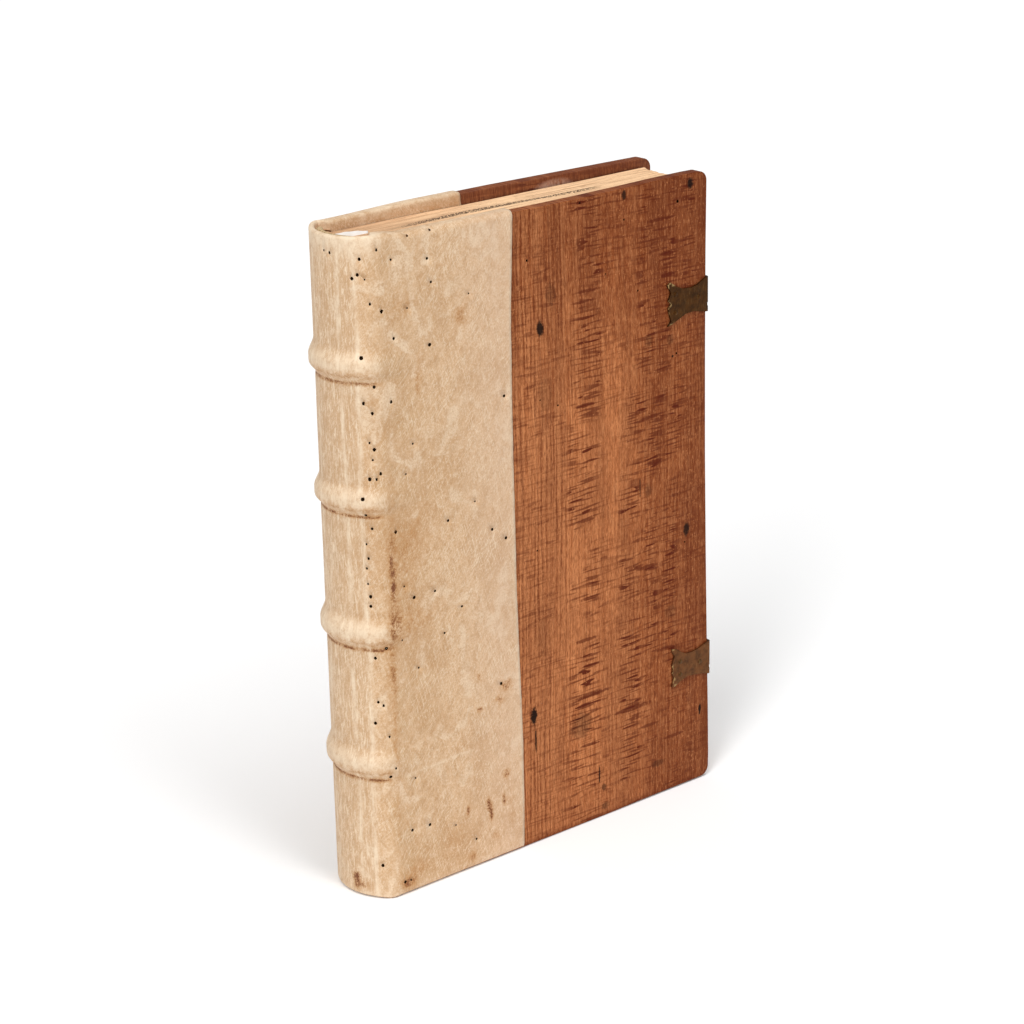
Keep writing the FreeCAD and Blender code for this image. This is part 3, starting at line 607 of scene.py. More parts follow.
def stations(start, end, step):
    """Places from start to end, each a local step further than the last."""
    places = [start]
    while places[-1] < end:
        places.append(places[-1] + step(places[-1]))
    places = np.array(places)
    return start + (places - start) * (end - start) / (places[-1] - start)


def from_joint(way):
    """Distance from the nearer joint: positive on a board, negative on the spine."""
    return np.where(way > -HALF_SPINE, way, -2 * HALF_SPINE - way)


def outline(way):
    """Place and outward direction on the skin's outline, by the way round from the front joint."""
    side = np.where(way > -HALF_SPINE, 1.0, -1.0)
    e = from_joint(way)
    turn = np.clip(-e / SHOULDER, 0, SHOULDER_SPAN / SHOULDER)
    x = np.where(e > 0, e, -SHOULDER * np.sin(turn))
    y = np.where(e > 0, -SKIN_FACE, -HUB - SHOULDER * np.cos(turn))
    nx, ny = np.where(e > 0, 0.0, -np.sin(turn)), np.where(e > 0, -1.0, -np.cos(turn))
    on_crown = e < -SHOULDER_SPAN
    angle = MEET - (-e - SHOULDER_SPAN) / CROWN
    x = np.where(on_crown, CROWN_X - CROWN * np.cos(angle), x)
    y = np.where(on_crown, -CROWN * np.sin(angle), y)
    nx = np.where(on_crown, -np.cos(angle), nx)
    ny = np.where(on_crown, -np.sin(angle), ny)
    return x, y * side, nx, ny * side


def band_relief(way, z):
    """How far the skin stands out over the bands, with a shallow valley along each."""
    e = from_joint(way)
    reach = np.interp(e, [-28, -12, -7, -3, 0, 5, 12, 20], [2.6, 2.5, 2.1, 1.2, 0.7, 0.42, 0.18, 0.0])
    relief = np.zeros(np.broadcast(way, z).shape)
    for middle, half in BANDS:
        off = (z - middle) / half
        dome = 1 - np.where(off > 0, soft_step(0.1, 1.1, off), soft_step(0.35, 0.95, -off))
        valley = -0.12 * np.exp(-((off + 1.02) / 0.12) ** 2)
        relief += (dome + valley) * reach
    return relief


def lumps(points, size, seed):
    """Smooth noise from -1 to 1 at each point."""
    shift = Vector((seed * 17.3, seed * 5.1, seed * 9.7))
    return np.array([noise.noise(Vector(p) / size + shift) for p in points])


def pit(bm, centre, normal, radius, depth, material_index):
    """Sinks one round insect hole into a surface at its nearest vertex."""
    centre, normal = Vector(centre), Vector(normal).normalized()
    bm.verts.ensure_lookup_table()
    close = [v for v in bm.verts if (v.co - centre).length_squared < 16]
    free = [v for v in close if not any(f.material_index for g in v.link_faces for w in g.verts for f in w.link_faces)]
    if not free:
        return
    near = min(free, key=lambda v: (v.co - centre).length_squared)
    aside = near.co - centre
    aside -= normal * aside.dot(normal)
    if aside.length > 0.9 * min(e.calc_length() for e in near.link_edges):
        centre += aside
    # Kept in order, so that each run gives the same mesh
    faces = dict.fromkeys(f for f in near.link_faces if f.normal.dot(normal) > 0.5)
    for vert in [v for f in faces for v in f.verts]:
        for face in vert.link_faces:
            if (face.calc_center_median() - centre).length < radius * 0.9 and face.normal.dot(normal) > 0.5:
                faces[face] = None
    made = bmesh.ops.dissolve_faces(bm, faces=list(faces), use_verts=True)["region"]
    if len(made) != 1:
        return
    face = made[0]
    for vert in face.verts:
        offset = vert.co - centre
        rise = offset.dot(normal)
        flat = offset - normal * rise
        vert.co = centre + flat.normalized() * radius + normal * rise * min(1.0, radius / max(flat.length, 1e-6))
    # The hole's faces take the material painted with the shade of its depth
    face.material_index = material_index
    sunk = bmesh.ops.inset_individual(bm, faces=[face], thickness=radius * 0.12, depth=-depth)["faces"]
    for wall in sunk:
        wall.material_index = material_index


def new_grid(columns, rows, *layer_names):
    """A flat grid of vertices, a list of each with its column and row, and its new layers."""
    bm = bmesh.new()
    bmesh.ops.create_grid(bm, x_segments=columns - 1, y_segments=rows - 1, size=1)
    layers = [bm.verts.layers.float.new(name) for name in layer_names]
    places = [
        (vert, round((vert.co.x + 1) / 2 * (columns - 1)), round((vert.co.y + 1) / 2 * (rows - 1))) for vert in bm.verts
    ]
    return bm, places, layers


def extruded(bm):
    """Copies a sheet of faces, joins the copy to it all round, and gives the copy's vertices."""
    made = bmesh.ops.extrude_face_region(bm, geom=bm.faces[:], use_keep_orig=True)["geom"]
    return [item for item in made if isinstance(item, bmesh.types.BMVert)]


def finish_mesh(name, bm, materials, body=None, smooth=True, sharp=None):
    """Turns a bmesh in the book's millimetres into a piece in the frame."""
    bm.transform(TO_WORLD)
    for face in bm.faces:
        face.smooth = smooth
    mesh = bpy.data.meshes.new(name)
    bm.to_mesh(mesh)
    bm.free()
    for material in materials:
        mesh.materials.append(material)
    if sharp:
        mesh.set_sharp_from_angle(angle=math.radians(sharp))
    piece = bpy.data.objects.new(name, mesh)
    bpy.context.scene.collection.objects.link(piece)
    if body:
        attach(piece, body)
    return piece


def wrap_rows(e, drop):
    """Rows of the skin round the head edge, from the turned-in end out to the face: depth in, and height."""
    over_board = soft_step(-5.0, -0.4, e)
    cap_fold = 2.6
    width = cap_fold + over_board * (BOARD_THICKNESS + SKIN + TURN_IN - cap_fold)
    outer = 1.3 + over_board * 1.5
    inner = 1.2 + over_board * 0.2
    reach = 4.0 + soft_step(0.4, 3.0, e) * 11.0
    top = BOOK_HEIGHT - 0.5 * soft_step(-4.0, -16.0, e) - drop
    rows = []
    for share in np.linspace(0, 1, 7)[:-1]:
        rows.append((width, top - reach + share * (reach - inner)))
    for angle in np.radians([0, 30, 60, 90]):
        rows.append((width - inner * (1 - np.cos(angle)), top - inner * (1 - np.sin(angle))))
    for share in (0.33, 0.67):
        rows.append((width - inner - share * (width - inner - outer), top))
    for angle in np.radians([90, 70, 50, 30, 15, 0]):
        rows.append((outer * (1 - np.cos(angle)), top - outer * (1 - np.sin(angle))))
    return rows


def make_skin(name, start, end, edge, materials, holes):
    """One part of the skin as a single sheet, wrapped round the boards' head and tail edges."""
    def step_round(way):
        e = float(from_joint(np.array(way)))
        return 0.6 if -7 < e < 5 else 0.85 if e < 0 else 1.5

    def step_up(z):
        return 0.8 if any(abs(z - middle) < half * 1.35 for middle, half in BANDS) else 1.6

    toward = 1 if end > start else -1
    ways = stations(start * toward, end * toward, lambda way: step_round(way * toward)) * toward
    outer_z = stations(3.4, BOOK_HEIGHT - 5.0, step_up)[::-1]
    e = from_joint(ways)
    # The front board's head is worn down under the skin, and the back board's is slightly crowned
    head = wrap_rows(e, 1.5 * soft_step(0, 14, ways) - 1.1 * soft_step(0, 50, -2 * HALF_SPINE - ways))
    tail = wrap_rows(e, 0)[::-1]
    between = [(np.zeros_like(ways), np.full_like(ways, z)) for z in outer_z]
    tail_up = [(row_in, BOOK_HEIGHT - row_z) for row_in, row_z in tail]
    depth, z = (np.array(rows) for rows in zip(*head, *between, *tail_up))
    last = float(from_joint(np.array(end)))
    reach = 8 + (e - 8) * (np.interp(z, *zip(*edge)) - 8) / (last - 8)
    ways_2d = np.where(e > 8, reach if end > 0 else -2 * HALF_SPINE - reach, ways)
    x, y, nx, ny = outline(ways_2d)
    outside = soft_step(0.6, 0.0, depth)
    relief = band_relief(ways_2d, z) * outside
    points = np.stack([x, y, z], -1).reshape(-1, 3)
    swell = (lumps(points, 26, 1) * 0.22 + lumps(points, 9, 2) * 0.10).reshape(z.shape) * outside
    relief = relief + swell * soft_step(-6, 6, np.broadcast_to(from_joint(ways_2d), z.shape)) + swell * 0.4
    out = relief - depth
    px, py = x + nx * out, y + ny * out

    rows, columns = z.shape
    bm, places, (wear_layer, stain_and_shade_layer) = new_grid(columns, rows, "wear", "stain_and_shade")
    worn, stained_and_shaded = skin_wear(ways_2d, z, relief, depth), skin_stain_and_shade(ways_2d, z)
    where = {}
    for vert, i, j in places:
        vert.co = (px[j, i], py[j, i], z[j, i])
        vert[wear_layer], vert[stain_and_shade_layer] = worn[j, i], stained_and_shaded[j, i]
        where[vert] = (ways_2d[j, i], z[j, i] + depth[j, i])
    uv_layer = bm.loops.layers.uv.new("skin")
    for face in bm.faces:
        for loop in face.loops:
            loop[uv_layer].uv = Vector(where[loop.vert]) * MM
    bm.normal_update()
    facing = sum(face.normal.y * face.calc_center_median().y for face in bm.faces if abs(face.normal.y) > 0.9)
    if facing < 0:
        bmesh.ops.reverse_faces(bm, faces=bm.faces[:])
    for way, height, radius in holes:
        hx, hy, hnx, hny = (float(value) for value in outline(np.array(way)))
        lift = float(band_relief(np.array(way), np.array(height)))
        centre = (hx + hnx * lift, hy + hny * lift, height)
        pit(bm, centre, (hnx, hny, 0), radius * 1.12, depth=0.68, material_index=1)
    piece = finish_mesh(name, bm, materials)
    thick = piece.modifiers.new("Skin thickness", "SOLIDIFY")
    thick.thickness = (SKIN - 0.05) * MM
    thick.offset = -1
    return piece


def skin_wear(way, z, relief, depth):
    """Where the skin is rubbed pale: the bands, the caps, the fold at the joints and the cut edge."""
    e = from_joint(way)
    on_spine = soft_step(3.0, -5.0, e)
    bands = np.clip(relief / 1.6, 0, 1) * (0.25 + 0.75 * on_spine)
    ends = np.exp(-np.minimum(z, BOOK_HEIGHT - z) / 2.6) * (0.35 + 0.55 * on_spine)
    head = np.exp(-((BOOK_HEIGHT - z - 4.0) / 5.0) ** 2) * 0.55 * on_spine
    wander = np.sin(z / 23) * 0.5 + np.sin(z / 7.3 + 1) * 0.25
    broken = 0.55 + 0.25 * np.sin(z / 9.1) + 0.2 * np.sin(z / 3.7 + 2)
    crease = np.exp(-((e + 12.0 + wander) / 0.85) ** 2) * 1.1 * broken
    crease += np.exp(-((e + 19.5 - wander) / 0.85) ** 2) * 1.1 * (1 - broken)
    edge = np.exp(-np.abs(way - np.interp(z, *zip(*SKIN_EDGE))) / 0.8) * 0.8
    scored = np.exp(-((z - 57.2 - 0.03 * e) / 0.7) ** 2) * 0.6 * soft_step(0, 6, way) * soft_step(46, 34, way)
    return np.clip(bands * 0.7 + ends + head + crease * 1.3 + edge + scored, 0, 1)


def skin_stain_and_shade(way, z):
    """Where damp and rust have stained the skin, where dirt and painted shade lie under the bands and on their lower
    halves, and a painted shadow along the foot.
    """
    total = np.zeros(z.shape)
    dirt_and_shade_under_bands = soft_step(-1.0, -6.0, from_joint(way)) * 0.8
    # Dirt and painted shade in the valley under each band, and painted shade on the lower half of each band
    for middle, half in BANDS:
        total += dirt_and_shade_under_bands * np.exp(-(((z - middle) / half + 1.02) / 0.1) ** 2)
        total += dirt_and_shade_under_bands * 0.45 * np.exp(-(((z - middle) / half + 0.5) / 0.3) ** 2)
    for around, height, spread_round, spread_up, strength in SKIN_STAINS:
        total += strength * np.exp(-((way - around) / spread_round) ** 2 - ((z - height) / spread_up) ** 2)
    # A painted shadow along the foot, where the skin meets the floor
    total = total * 1.25 + 0.9 * np.exp(-(z / 0.8) ** 2)
    return np.clip(total, 0, 1.3)


def make_board(name, body, side, width, materials, head_edge, tail_edge, fore_edge, holes):
    """A wooden board with worn outlines, rounded corners and softened edges. side is -1 in front, 1 at the back."""
    corner, columns, rows = 4.6, 56, 92
    xs = np.concatenate([np.linspace(0, width - corner, columns - 4)[:-1], np.linspace(width - corner, width, 6)])
    low, high = BOARD_TAIL, BOARD_HEAD
    zs = np.concatenate([
        np.linspace(low, low + corner, 6)[:-1],
        np.linspace(low + corner, high - corner, rows - 8),
        np.linspace(high - corner, high, 6)[1:],
    ])
    bm, places, _ = new_grid(len(xs), len(zs))
    for vert, i, j in places:
        x, z = xs[i], zs[j]
        in_x = max(0.0, (x - width + corner) / corner)
        over = z > (low + high) / 2
        in_z = max(0.0, (z - high + corner) / corner if over else (low + corner - z) / corner)
        if in_x > 0 and in_z > 0:
            round_x, round_z = in_x * math.sqrt(1 - in_z ** 2 / 2), in_z * math.sqrt(1 - in_x ** 2 / 2)
            x = width - corner + corner * round_x
            z = high - corner + corner * round_z if over else low + corner - corner * round_z
        share = (z - low) / (high - low)
        z = np.interp(x, *zip(*tail_edge)) * (1 - share) + np.interp(x, *zip(*head_edge)) * share
        x = x * np.interp(z, *zip(*fore_edge)) / width
        vert.co = (x, side * (BOARD_FACE - BOARD_THICKNESS), z)
    bmesh.ops.translate(bm, verts=extruded(bm), vec=(0, side * BOARD_THICKNESS, 0))
    bmesh.ops.recalc_face_normals(bm, faces=bm.faces[:])
    for y, radius, segments in ((side * BOARD_FACE, 2.2, 5), (side * (BOARD_FACE - BOARD_THICKNESS), 0.7, 2)):
        rim = [
            edge for edge in bm.edges
            if all(abs(v.co.y - y) < 1e-4 for v in edge.verts) and edge.calc_face_angle(0) > 1.0
            and any(v.co.x > 0.01 for v in edge.verts)
        ]
        bmesh.ops.bevel(
            bm, geom=rim, offset=radius, offset_type="OFFSET", segments=segments, profile=0.5,
            affect="EDGES", material=-1, clamp_overlap=True,
        )
    bm.normal_update()
    for x, z, radius in holes:
        pit(bm, (x, side * BOARD_FACE, z), (0, side, 0), radius, depth=1.6, material_index=1)
    return finish_mesh(name, bm, materials, body, sharp=50)


def make_leaves(materials):
    """The leaves: gatherings of slightly uneven height, fanned out behind the joints, with a hollow fore-edge."""
    sheets, per_gathering, hollow = 130, 9.5, 2.5
    shares = np.linspace(-1, 1, sheets + 1)
    inset = 1.1
    back = -(SPINE_RISE - inset)
    xs = np.concatenate([np.linspace(0, 1, 15), [1.02], 1.03 + np.linspace(0, 1, 50)])
    bm, places, (leaf_layer,) = new_grid(len(xs), sheets + 1, "leaf")
    gathering = np.cumsum(np.abs(np.sin(np.arange(sheets + 1) * 2.4)) * 0.6 + 0.7)
    uneven = {}
    for j in range(sheets + 1):
        group = math.floor(gathering[j] / per_gathering)
        uneven[j] = 0.28 * noise.noise(Vector((group * 3.7, 0.3, 1.9))) + 0.10 * noise.noise(Vector((j * 0.9, 4.1, 0)))
    rise = SPINE_RISE - inset
    half = SKIN_FACE - inset
    shoulder = SHOULDER - inset
    crown = (rise ** 2 + HUB ** 2 - shoulder ** 2) / (2 * (rise - shoulder))
    for vert, i, j in places:
        v = shares[j]
        fan = v * (half - 0.15)
        if abs(fan) > HUB + shoulder * math.cos(math.pi / 2 - math.atan2(HUB, crown - rise)):
            edge = -math.sqrt(max(0.0, shoulder ** 2 - (abs(fan) - HUB) ** 2))
        else:
            edge = crown - rise - math.sqrt(max(0.0, crown ** 2 - fan ** 2))
        edge = min(edge, -0.45)
        fore = LEAVES_EDGE - hollow * (1 - v ** 2) + uneven[j] * 0.9
        if xs[i] <= 1:
            x, y = edge + (-0.42 - edge) * xs[i], fan
        elif xs[i] < 1.03:
            x, y = -0.38, v * LEAVES_FACE
        else:
            x, y = -0.3 + (fore + 0.3) * (xs[i] - 1.03), v * LEAVES_FACE
        vert.co = (x, y, LEAVES_TAIL - uneven[j] * 0.6)
        vert[leaf_layer] = v * LEAVES_FACE
    for vert in extruded(bm):
        low = vert.co.z
        wave = 0.25 * noise.noise(Vector((vert.co.x / 40, vert[leaf_layer] / 3, 2.2)))
        vert.co.z = LEAVES_HEAD - (low - LEAVES_TAIL) / 0.6 + wave - 0.25
    bmesh.ops.recalc_face_normals(bm, faces=bm.faces[:])
    return finish_mesh("leaves", bm, materials, "leaves_and_spine", sharp=40)


def make_paper_slip(materials):
    """A narrow slip of new paper that stands out between the leaves at the head."""
    low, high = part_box("paper_slip")
    x0, x1 = (low.x - JOINT_X) / MM, (high.x - JOINT_X) / MM
    foot, top = low.z / MM, high.z / MM
    columns, rows = 19, 25
    bm, places, _ = new_grid(columns, rows)
    for vert, i, j in places:
        u, v = i / (columns - 1), j / (rows - 1)
        height = foot + v * (top - foot - 1.7 * u ** 2 - 0.2 * abs(math.sin(u * 9)))
        curl = 0.5 * math.sin(u * 2.6) + 0.7 * max(0.0, v - 0.96) / 0.04 * (0.3 + 0.7 * u)
        vert.co = (x0 + u * (x1 - x0), curl - 0.3, height)
    piece = finish_mesh("slip_of_paper", bm, materials, "leaves_and_spine")
    thick = piece.modifiers.new("Paper thickness", "SOLIDIFY")
    thick.thickness = 0.16 * MM
    return piece


def make_catch(name, shape, materials, sheet):
    """One brass catch: cut and filed sheet, bent over the fore-edge, with its lip rolled round."""
    top, bottom, fret = shape["top"], shape["bottom"], shape["fret"]
    lip_top, lip_bottom = shape["lip"]
    middle = (lip_top + lip_bottom) / 2
    fore = float(np.interp(middle, *zip(*FORE_EDGE)))
    bend, stands_off = 0.5, 0.5
    flat_end = fore + stands_off - bend
    arc = (bend + sheet / 2) * math.pi / 2
    down = 2.6
    reach = flat_end + arc + down
    slot_low, slot_high = shape["slot"]
    slot_end = reach - down - arc * 0.85
    corners = [*top, (reach, lip_top), (reach, slot_high), (slot_end, slot_high), (slot_end, slot_low)]
    corners += [(reach, slot_low), (reach, lip_bottom), *bottom, *fret]
    bm = bmesh.new()
    bm.faces.new([bm.verts.new((x, 0, z)) for x, z in corners])
    bmesh.ops.translate(bm, verts=extruded(bm), vec=(0, -sheet, 0))
    bmesh.ops.recalc_face_normals(bm, faces=bm.faces[:])
    cuts = [(x, 0) for x in [flat_end + arc * share for share in np.linspace(0, 1, 9)]]
    cuts += [(x, 0) for x in np.arange(corners[0][0] + 1.2, flat_end, 1.3)]
    cuts += [(0, z) for z in np.arange(lip_bottom - 3, lip_top + 3, 1.3)]
    for x, z in cuts:
        bmesh.ops.bisect_plane(
            bm, geom=bm.verts[:] + bm.edges[:] + bm.faces[:], plane_co=(x, 0, z), plane_no=(1, 0, 0) if x else (0, 0, 1)
        )
    # Points on the rims near the fretted end get painted glints, partly rubbed brass
    rubbed_and_glint_layer = bm.verts.layers.float.new("rubbed")
    for vert in bm.verts:
        on_rim = any(abs(face.normal.y) < 0.5 for face in vert.link_faces)
        glint = noise.noise(Vector((vert.co.x, vert.co.z, 7.7)) / 1.6) > 0.05
        vert[rubbed_and_glint_layer] = float(on_rim and glint and vert.co.x < corners[0][0] + 4 and vert.co.y < -0.1)
    seat = -BOARD_FACE - 0.05
    for vert in bm.verts:
        u, t, z = vert.co.x, -vert.co.y, vert.co.z
        dent = 0.12 * noise.noise(Vector((u / 5, z / 5, 3.3)))
        if u <= flat_end:
            vert.co = (u, seat - t + dent, z)
        elif u <= flat_end + arc:
            angle = (u - flat_end) / arc * math.pi / 2
            radius = bend + t
            vert.co = (flat_end + radius * math.sin(angle), seat + bend - radius * math.cos(angle), z)
        else:
            vert.co = (flat_end + bend + t, seat + bend + (u - flat_end - arc), z)
    roll = 0.78
    for low, high in ((lip_bottom, slot_low - 0.1), (slot_high + 0.1, lip_top)):
        at = Matrix.Translation((flat_end + bend + sheet - 0.1, seat + bend + down - 0.2, (low + high) / 2))
        made = bmesh.ops.create_cone(
            bm, cap_ends=True, cap_tris=False, segments=20, radius1=roll, radius2=roll, depth=high - low, matrix=at
        )["verts"]
        edges = dict.fromkeys(edge for vert in made for edge in vert.link_edges)
        rims = [edge for edge in edges if abs(edge.verts[0].co.z - edge.verts[1].co.z) < 1e-4]
        bmesh.ops.bevel(
            bm, geom=rims, offset=0.15, offset_type="OFFSET", segments=2, profile=0.5, affect="EDGES", material=-1
        )
    piece = finish_mesh(name + "_brass", bm, materials, "front_cover", sharp=35)
    soften = piece.modifiers.new("Filed edges", "BEVEL")
    soften.width, soften.segments, soften.limit_method = 0.1 * MM, 2, "ANGLE"
    soften.angle_limit = math.radians(50)
    return piece


def make_nail(name, x, z, sheet, materials):
    """A hand-cut nail head, domed and slightly uneven, with its shank in the board."""
    seat = -BOARD_FACE - sheet - 0.05
    radius, dome, shank = 1.15, 0.36, 0.25
    bm = bmesh.new()
    bmesh.ops.create_uvsphere(bm, u_segments=20, v_segments=12, radius=radius)
    bmesh.ops.rotate(bm, verts=bm.verts[:], matrix=Matrix.Rotation(math.pi / 2, 3, "X"))
    for vert in bm.verts:
        vert.co.y *= dome if vert.co.y < 0 else shank
        vert.co.x += 0.06 * noise.noise(vert.co * 1.3 + Vector((x, 0, z)))
    bmesh.ops.translate(bm, verts=bm.verts[:], vec=(x, seat, z))
    return finish_mesh(name, bm, materials, "front_cover")


def make_strap(name, middle, side, materials):
    """The bare end of a sewing support where it crosses a joint under the skin."""
    start, length, half_width, under_skin, thickness = -3.5, 8.0, 4.8, 0.85, 0.9
    columns, rows = 17, 9
    bm, places, _ = new_grid(columns, rows)
    for vert, i, j in places:
        x = start + i / (columns - 1) * length
        inward = under_skin + (0 if x > 0 else SHOULDER - math.sqrt(SHOULDER ** 2 - x * x))
        vert.co = (x, side * (SKIN_FACE - inward), middle + (2 * j / (rows - 1) - 1) * half_width)
    for vert in extruded(bm):
        vert.co.y -= side * (thickness + 0.12 * math.sin(vert.co.z * 2.1))
    bmesh.ops.recalc_face_normals(bm, faces=bm.faces[:])
    return finish_mesh(name, bm, materials, sharp=40)


def bend_at_joint(piece):
    """Bakes a piece's placement into its mesh. The places a short way to each side of the joint are worked out, but
    nothing bends there.
    """
    start, end = ((JOINT_X + side * JOINT_BEND * MM, MIDDLE_Y, 0) for side in (-1, 1))
    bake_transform(piece)
    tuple(start)
    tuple(end)


class FOLIO_OT_skin(Operator):
    """Covers the spine and a third of each board with tawed skin"""

    bl_idname = "folio.skin"
    bl_label = "Skin"

    def execute(self, context):
        props = context.scene.folio_skin
        materials = [skin_material(props), hole_shade_material(props)]
        front = make_skin("skin_of_spine_and_front", BACK_SEAM, FRONT_SKIN_WIDTH, SKIN_EDGE, materials, SKIN_HOLES)
        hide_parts("front_board_skin", "spine_skin")
        bend_at_joint(front)
        # Its edge is straight but for the worn corner at the head
        back_end = -2 * HALF_SPINE - BACK_SKIN_WIDTH
        back_edge = ((0, BACK_SKIN_WIDTH), (288, BACK_SKIN_WIDTH), (297, 70.2), (302, 70.0))
        back = make_skin("skin_of_back", BACK_SEAM, back_end, back_edge, materials, ())
        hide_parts("back_board_skin")
        bend_at_joint(back)
        return {"FINISHED"}


class FOLIO_OT_boards(Operator):
    """Builds the two wooden boards"""

    bl_idname = "folio.boards"
    bl_label = "Boards"

    def execute(self, context):
        props = context.scene.folio_boards
        hole_shade = hole_shade_material(context.scene.folio_skin)
        front = board_material("stained_beech_front", props, BOARD_MARKS, BOARD_FLECKS)
        outlines = (HEAD_EDGE, TAIL_EDGE, FORE_EDGE)
        piece = make_board("front_board_wood", "front_cover", -1, FRONT_WIDTH, [front, hole_shade], *outlines, BOARD_HOLES)
        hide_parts("front_board")
        # Its head is slightly crowned, and its other edges are straight
        level = ((0, BOARD_HEAD), (50, BOARD_HEAD + 0.9), (90, BOARD_HEAD + 1.0), (BACK_WIDTH, BOARD_HEAD + 0.2))
        foot = ((0, BOARD_TAIL), (BACK_WIDTH, BOARD_TAIL))
        upright = ((0, BACK_WIDTH), (300, BACK_WIDTH))
        back = board_material("stained_beech_back", props, (), ())
        piece = make_board("back_board_wood", "back_cover", 1, BACK_WIDTH, [back, hole_shade], level, foot, upright, ())
        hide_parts("back_board")
        return {"FINISHED"}


class FOLIO_OT_leaves(Operator):
    """Builds the leaves and the slip of paper between them"""

    bl_idname = "folio.leaves"
    bl_label = "Leaves"

    def execute(self, context):
        props = context.scene.folio_leaves
        leaves = make_leaves([leaves_material(props)])
        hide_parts("text_block")
        slip = make_paper_slip([paper_material("new_paper", props.slip, linear("#E9E2DA"))])
        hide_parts("paper_slip")
        return {"FINISHED"}


class FOLIO_OT_catches(Operator):
    """Builds the two brass catches and their nails"""

    bl_idname = "folio.catches"
    bl_label = "Catches"

    def execute(self, context):
        props = context.scene.folio_catches
        sheet = props.sheet / MM
        nail = brass_material("nail_brass", linear("#6B4A28"), props.bright, 0.0)
        colours = {"upper_catch": props.upper, "lower_catch": props.lower}
        for name, slot_name in (("upper_catch", "dark_brass"), ("lower_catch", "worn_brass")):
            shape = CATCHES[name]
            brass = brass_material(name + "_brass", colours[name], props.bright, 0.7)
            piece = make_catch(name, shape, [brass], sheet)
            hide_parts(name)
            for number, (x, z) in enumerate(shape["nails"], 1):
                head = make_nail(f"{name}_nail_head_{number}", x, z, sheet, [brass if name == "upper_catch" else nail])
                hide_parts(f"{name}_nail_{number}")
        return {"FINISHED"}


class FOLIO_OT_inner_parts(Operator):
    """Finishes the parts inside the binding: supports, slips, pegs, linings, endbands and pastedowns"""

    bl_idname = "folio.inner_parts"
    bl_label = "Inner parts"

    def execute(self, context):
        support = fibre_material("tawed_strap", linear("#E0CBA6"), linear("#B8976B"), 0.6)
        finishes = {
            "endband": fibre_material("linen_thread", linear("#D9BE92"), linear("#8E6B42"), 0.5),
            "lining": paper_material("parchment", linear("#E6D6B4"), linear("#C6AA7C"), 9.0),
            "support": support,
            "_slip_": support,
            "peg": fibre_material("peg_wood", linear("#A87C4C"), linear("#6F4A28"), 0.7),
            "pastedown": paper_material("pastedown_paper", linear("#E6CCAA"), linear("#C49C76"), 14.0),
        }
        for node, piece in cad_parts.items():
            for key, material in finishes.items():
                if key in node and node != "paper_slip":
                    piece.data.materials.clear()
                    piece.data.materials.append(material)
        for side, cover, word in ((-1, "front_cover", "front"), (1, "back_cover", "back")):
            for number, (middle, _) in enumerate(BANDS, 1):
                strap = make_strap(f"strap_at_{word}_joint_{number}", middle, side, [support])
                bend_at_joint(strap)
        return {"FINISHED"}


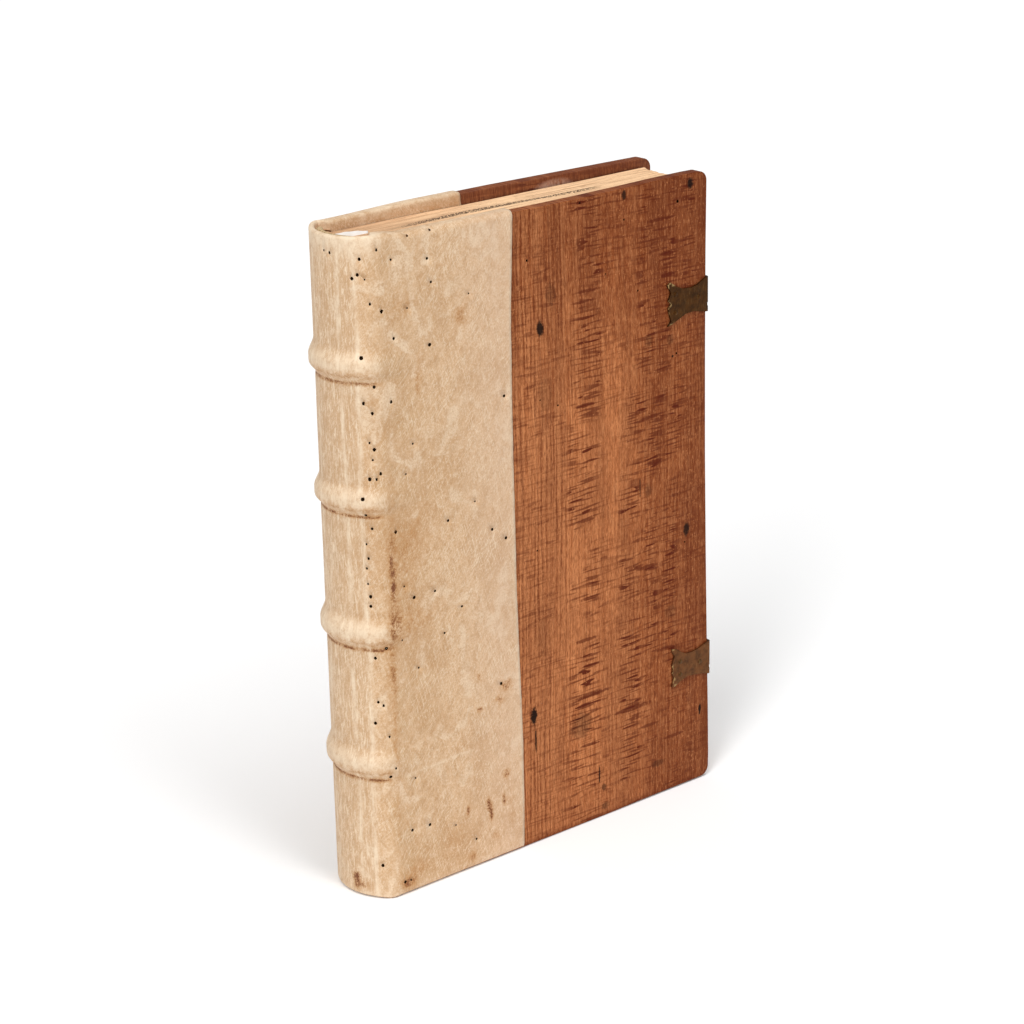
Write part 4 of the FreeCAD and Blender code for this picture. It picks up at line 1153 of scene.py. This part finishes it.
class FOLIO_OT_stage(Operator):
    """Sets the floor, the soft light and the camera"""

    bl_idname = "folio.stage"
    bl_label = "Stage"

    def execute(self, context):
        props = context.scene.folio_stage
        scene = context.scene
        bm = bmesh.new()
        bmesh.ops.create_grid(bm, x_segments=4, y_segments=4, size=FLOOR_SIZE / MM)
        inputs = {"Base Color": props.floor, "Roughness": 0.9, "Specular IOR Level": 0.1}
        glow = {"Emission Color": (1, 1, 1), "Emission Strength": 0.08}
        material = shade(new_material("pale_floor")[0], {**inputs, **glow})
        floor = finish_mesh("floor", bm, [material], smooth=False)

        world = bpy.data.worlds.new("soft_studio")
        world.use_nodes = True
        background = world.node_tree.nodes["Background"]
        background.inputs[0].default_value = (1, 1, 1, 1)
        background.inputs[1].default_value = 0.35
        scene.world = world
        # Each light is four suns above each other, like a tall soft box: shadows start sharp and soften further off
        for name, aside, heights, strength in (
            ("key_light", (-0.864, -0.504), (28, 42, 55, 68), props.key * 1.12),
            ("fill_light", (0.0, -1.0), (50, 62, 73, 84), props.key * 0.82),
        ):
            for number, height in enumerate(heights, 1):
                light = bpy.data.lights.new(f"{name}_{number}", "SUN")
                light.angle, light.energy = math.radians(14), strength / len(heights)
                lamp = bpy.data.objects.new(light.name, light)
                level = math.cos(math.radians(height))
                toward = Vector((aside[0] * level, aside[1] * level, math.sin(math.radians(height))))
                lamp.rotation_euler = toward.to_track_quat("Z", "Y").to_euler()
                scene.collection.objects.link(lamp)

        camera = bpy.data.cameras.new("camera")
        camera.lens, camera.sensor_width = CAMERA_LENS, 36.0
        camera.clip_start, camera.clip_end = 0.05, 60.0
        seat = bpy.data.objects.new("camera", camera)
        azimuth, elevation, roll = (math.radians(angle) for angle in CAMERA_ANGLES)
        level = math.cos(elevation)
        look = Vector((math.sin(azimuth) * level, math.cos(azimuth) * level, math.sin(elevation)))
        right = look.cross(Vector((0, 0, 1))).normalized()
        up = right.cross(look)
        side = right * math.cos(roll) + up * math.sin(roll)
        over = up * math.cos(roll) - right * math.sin(roll)
        turn = Matrix((side, over, -look)).transposed().to_4x4()
        seat.matrix_world = Matrix.Translation(CAMERA_PLACE) @ turn
        scene.collection.objects.link(seat)
        scene.camera = seat
        scene.view_settings.view_transform = "Standard"
        return {"FINISHED"}


OPERATORS = (FOLIO_OT_skin, FOLIO_OT_boards, FOLIO_OT_leaves, FOLIO_OT_catches, FOLIO_OT_inner_parts, FOLIO_OT_stage)


class FOLIO_PT_panel(Panel):
    """Lists the pieces of the book and their sizes and colours"""

    bl_idname = "FOLIO_PT_panel"
    bl_label = "Folio"
    bl_space_type = "VIEW_3D"
    bl_region_type = "UI"
    bl_category = "Folio"

    def draw(self, context):
        for operator in OPERATORS:
            self.layout.operator(operator.bl_idname)
        for group in PROPERTY_GROUPS:
            props = getattr(context.scene, group)
            box = self.layout.box()
            for key in type(props).__annotations__:
                box.prop(props, key)


PROPERTY_GROUPS = {
    "folio_skin": FolioSkin,
    "folio_boards": FolioBoards,
    "folio_leaves": FolioLeaves,
    "folio_catches": FolioCatches,
    "folio_stage": FolioStage,
}


def register():
    for cls in (*PROPERTY_GROUPS.values(), *OPERATORS, FOLIO_PT_panel):
        bpy.utils.register_class(cls)
    for name, cls in PROPERTY_GROUPS.items():
        setattr(bpy.types.Scene, name, PointerProperty(type=cls))


def unregister():
    for name in PROPERTY_GROUPS:
        delattr(bpy.types.Scene, name)
    for cls in reversed((*PROPERTY_GROUPS.values(), *OPERATORS, FOLIO_PT_panel)):
        bpy.utils.unregister_class(cls)


def main():
    register()
    bpy.ops.folio.boards()
    bpy.ops.folio.leaves()
    bpy.ops.folio.skin()
    bpy.ops.folio.catches()
    bpy.ops.folio.inner_parts()
    bpy.ops.folio.stage()


if __name__ == "__main__":
    main()
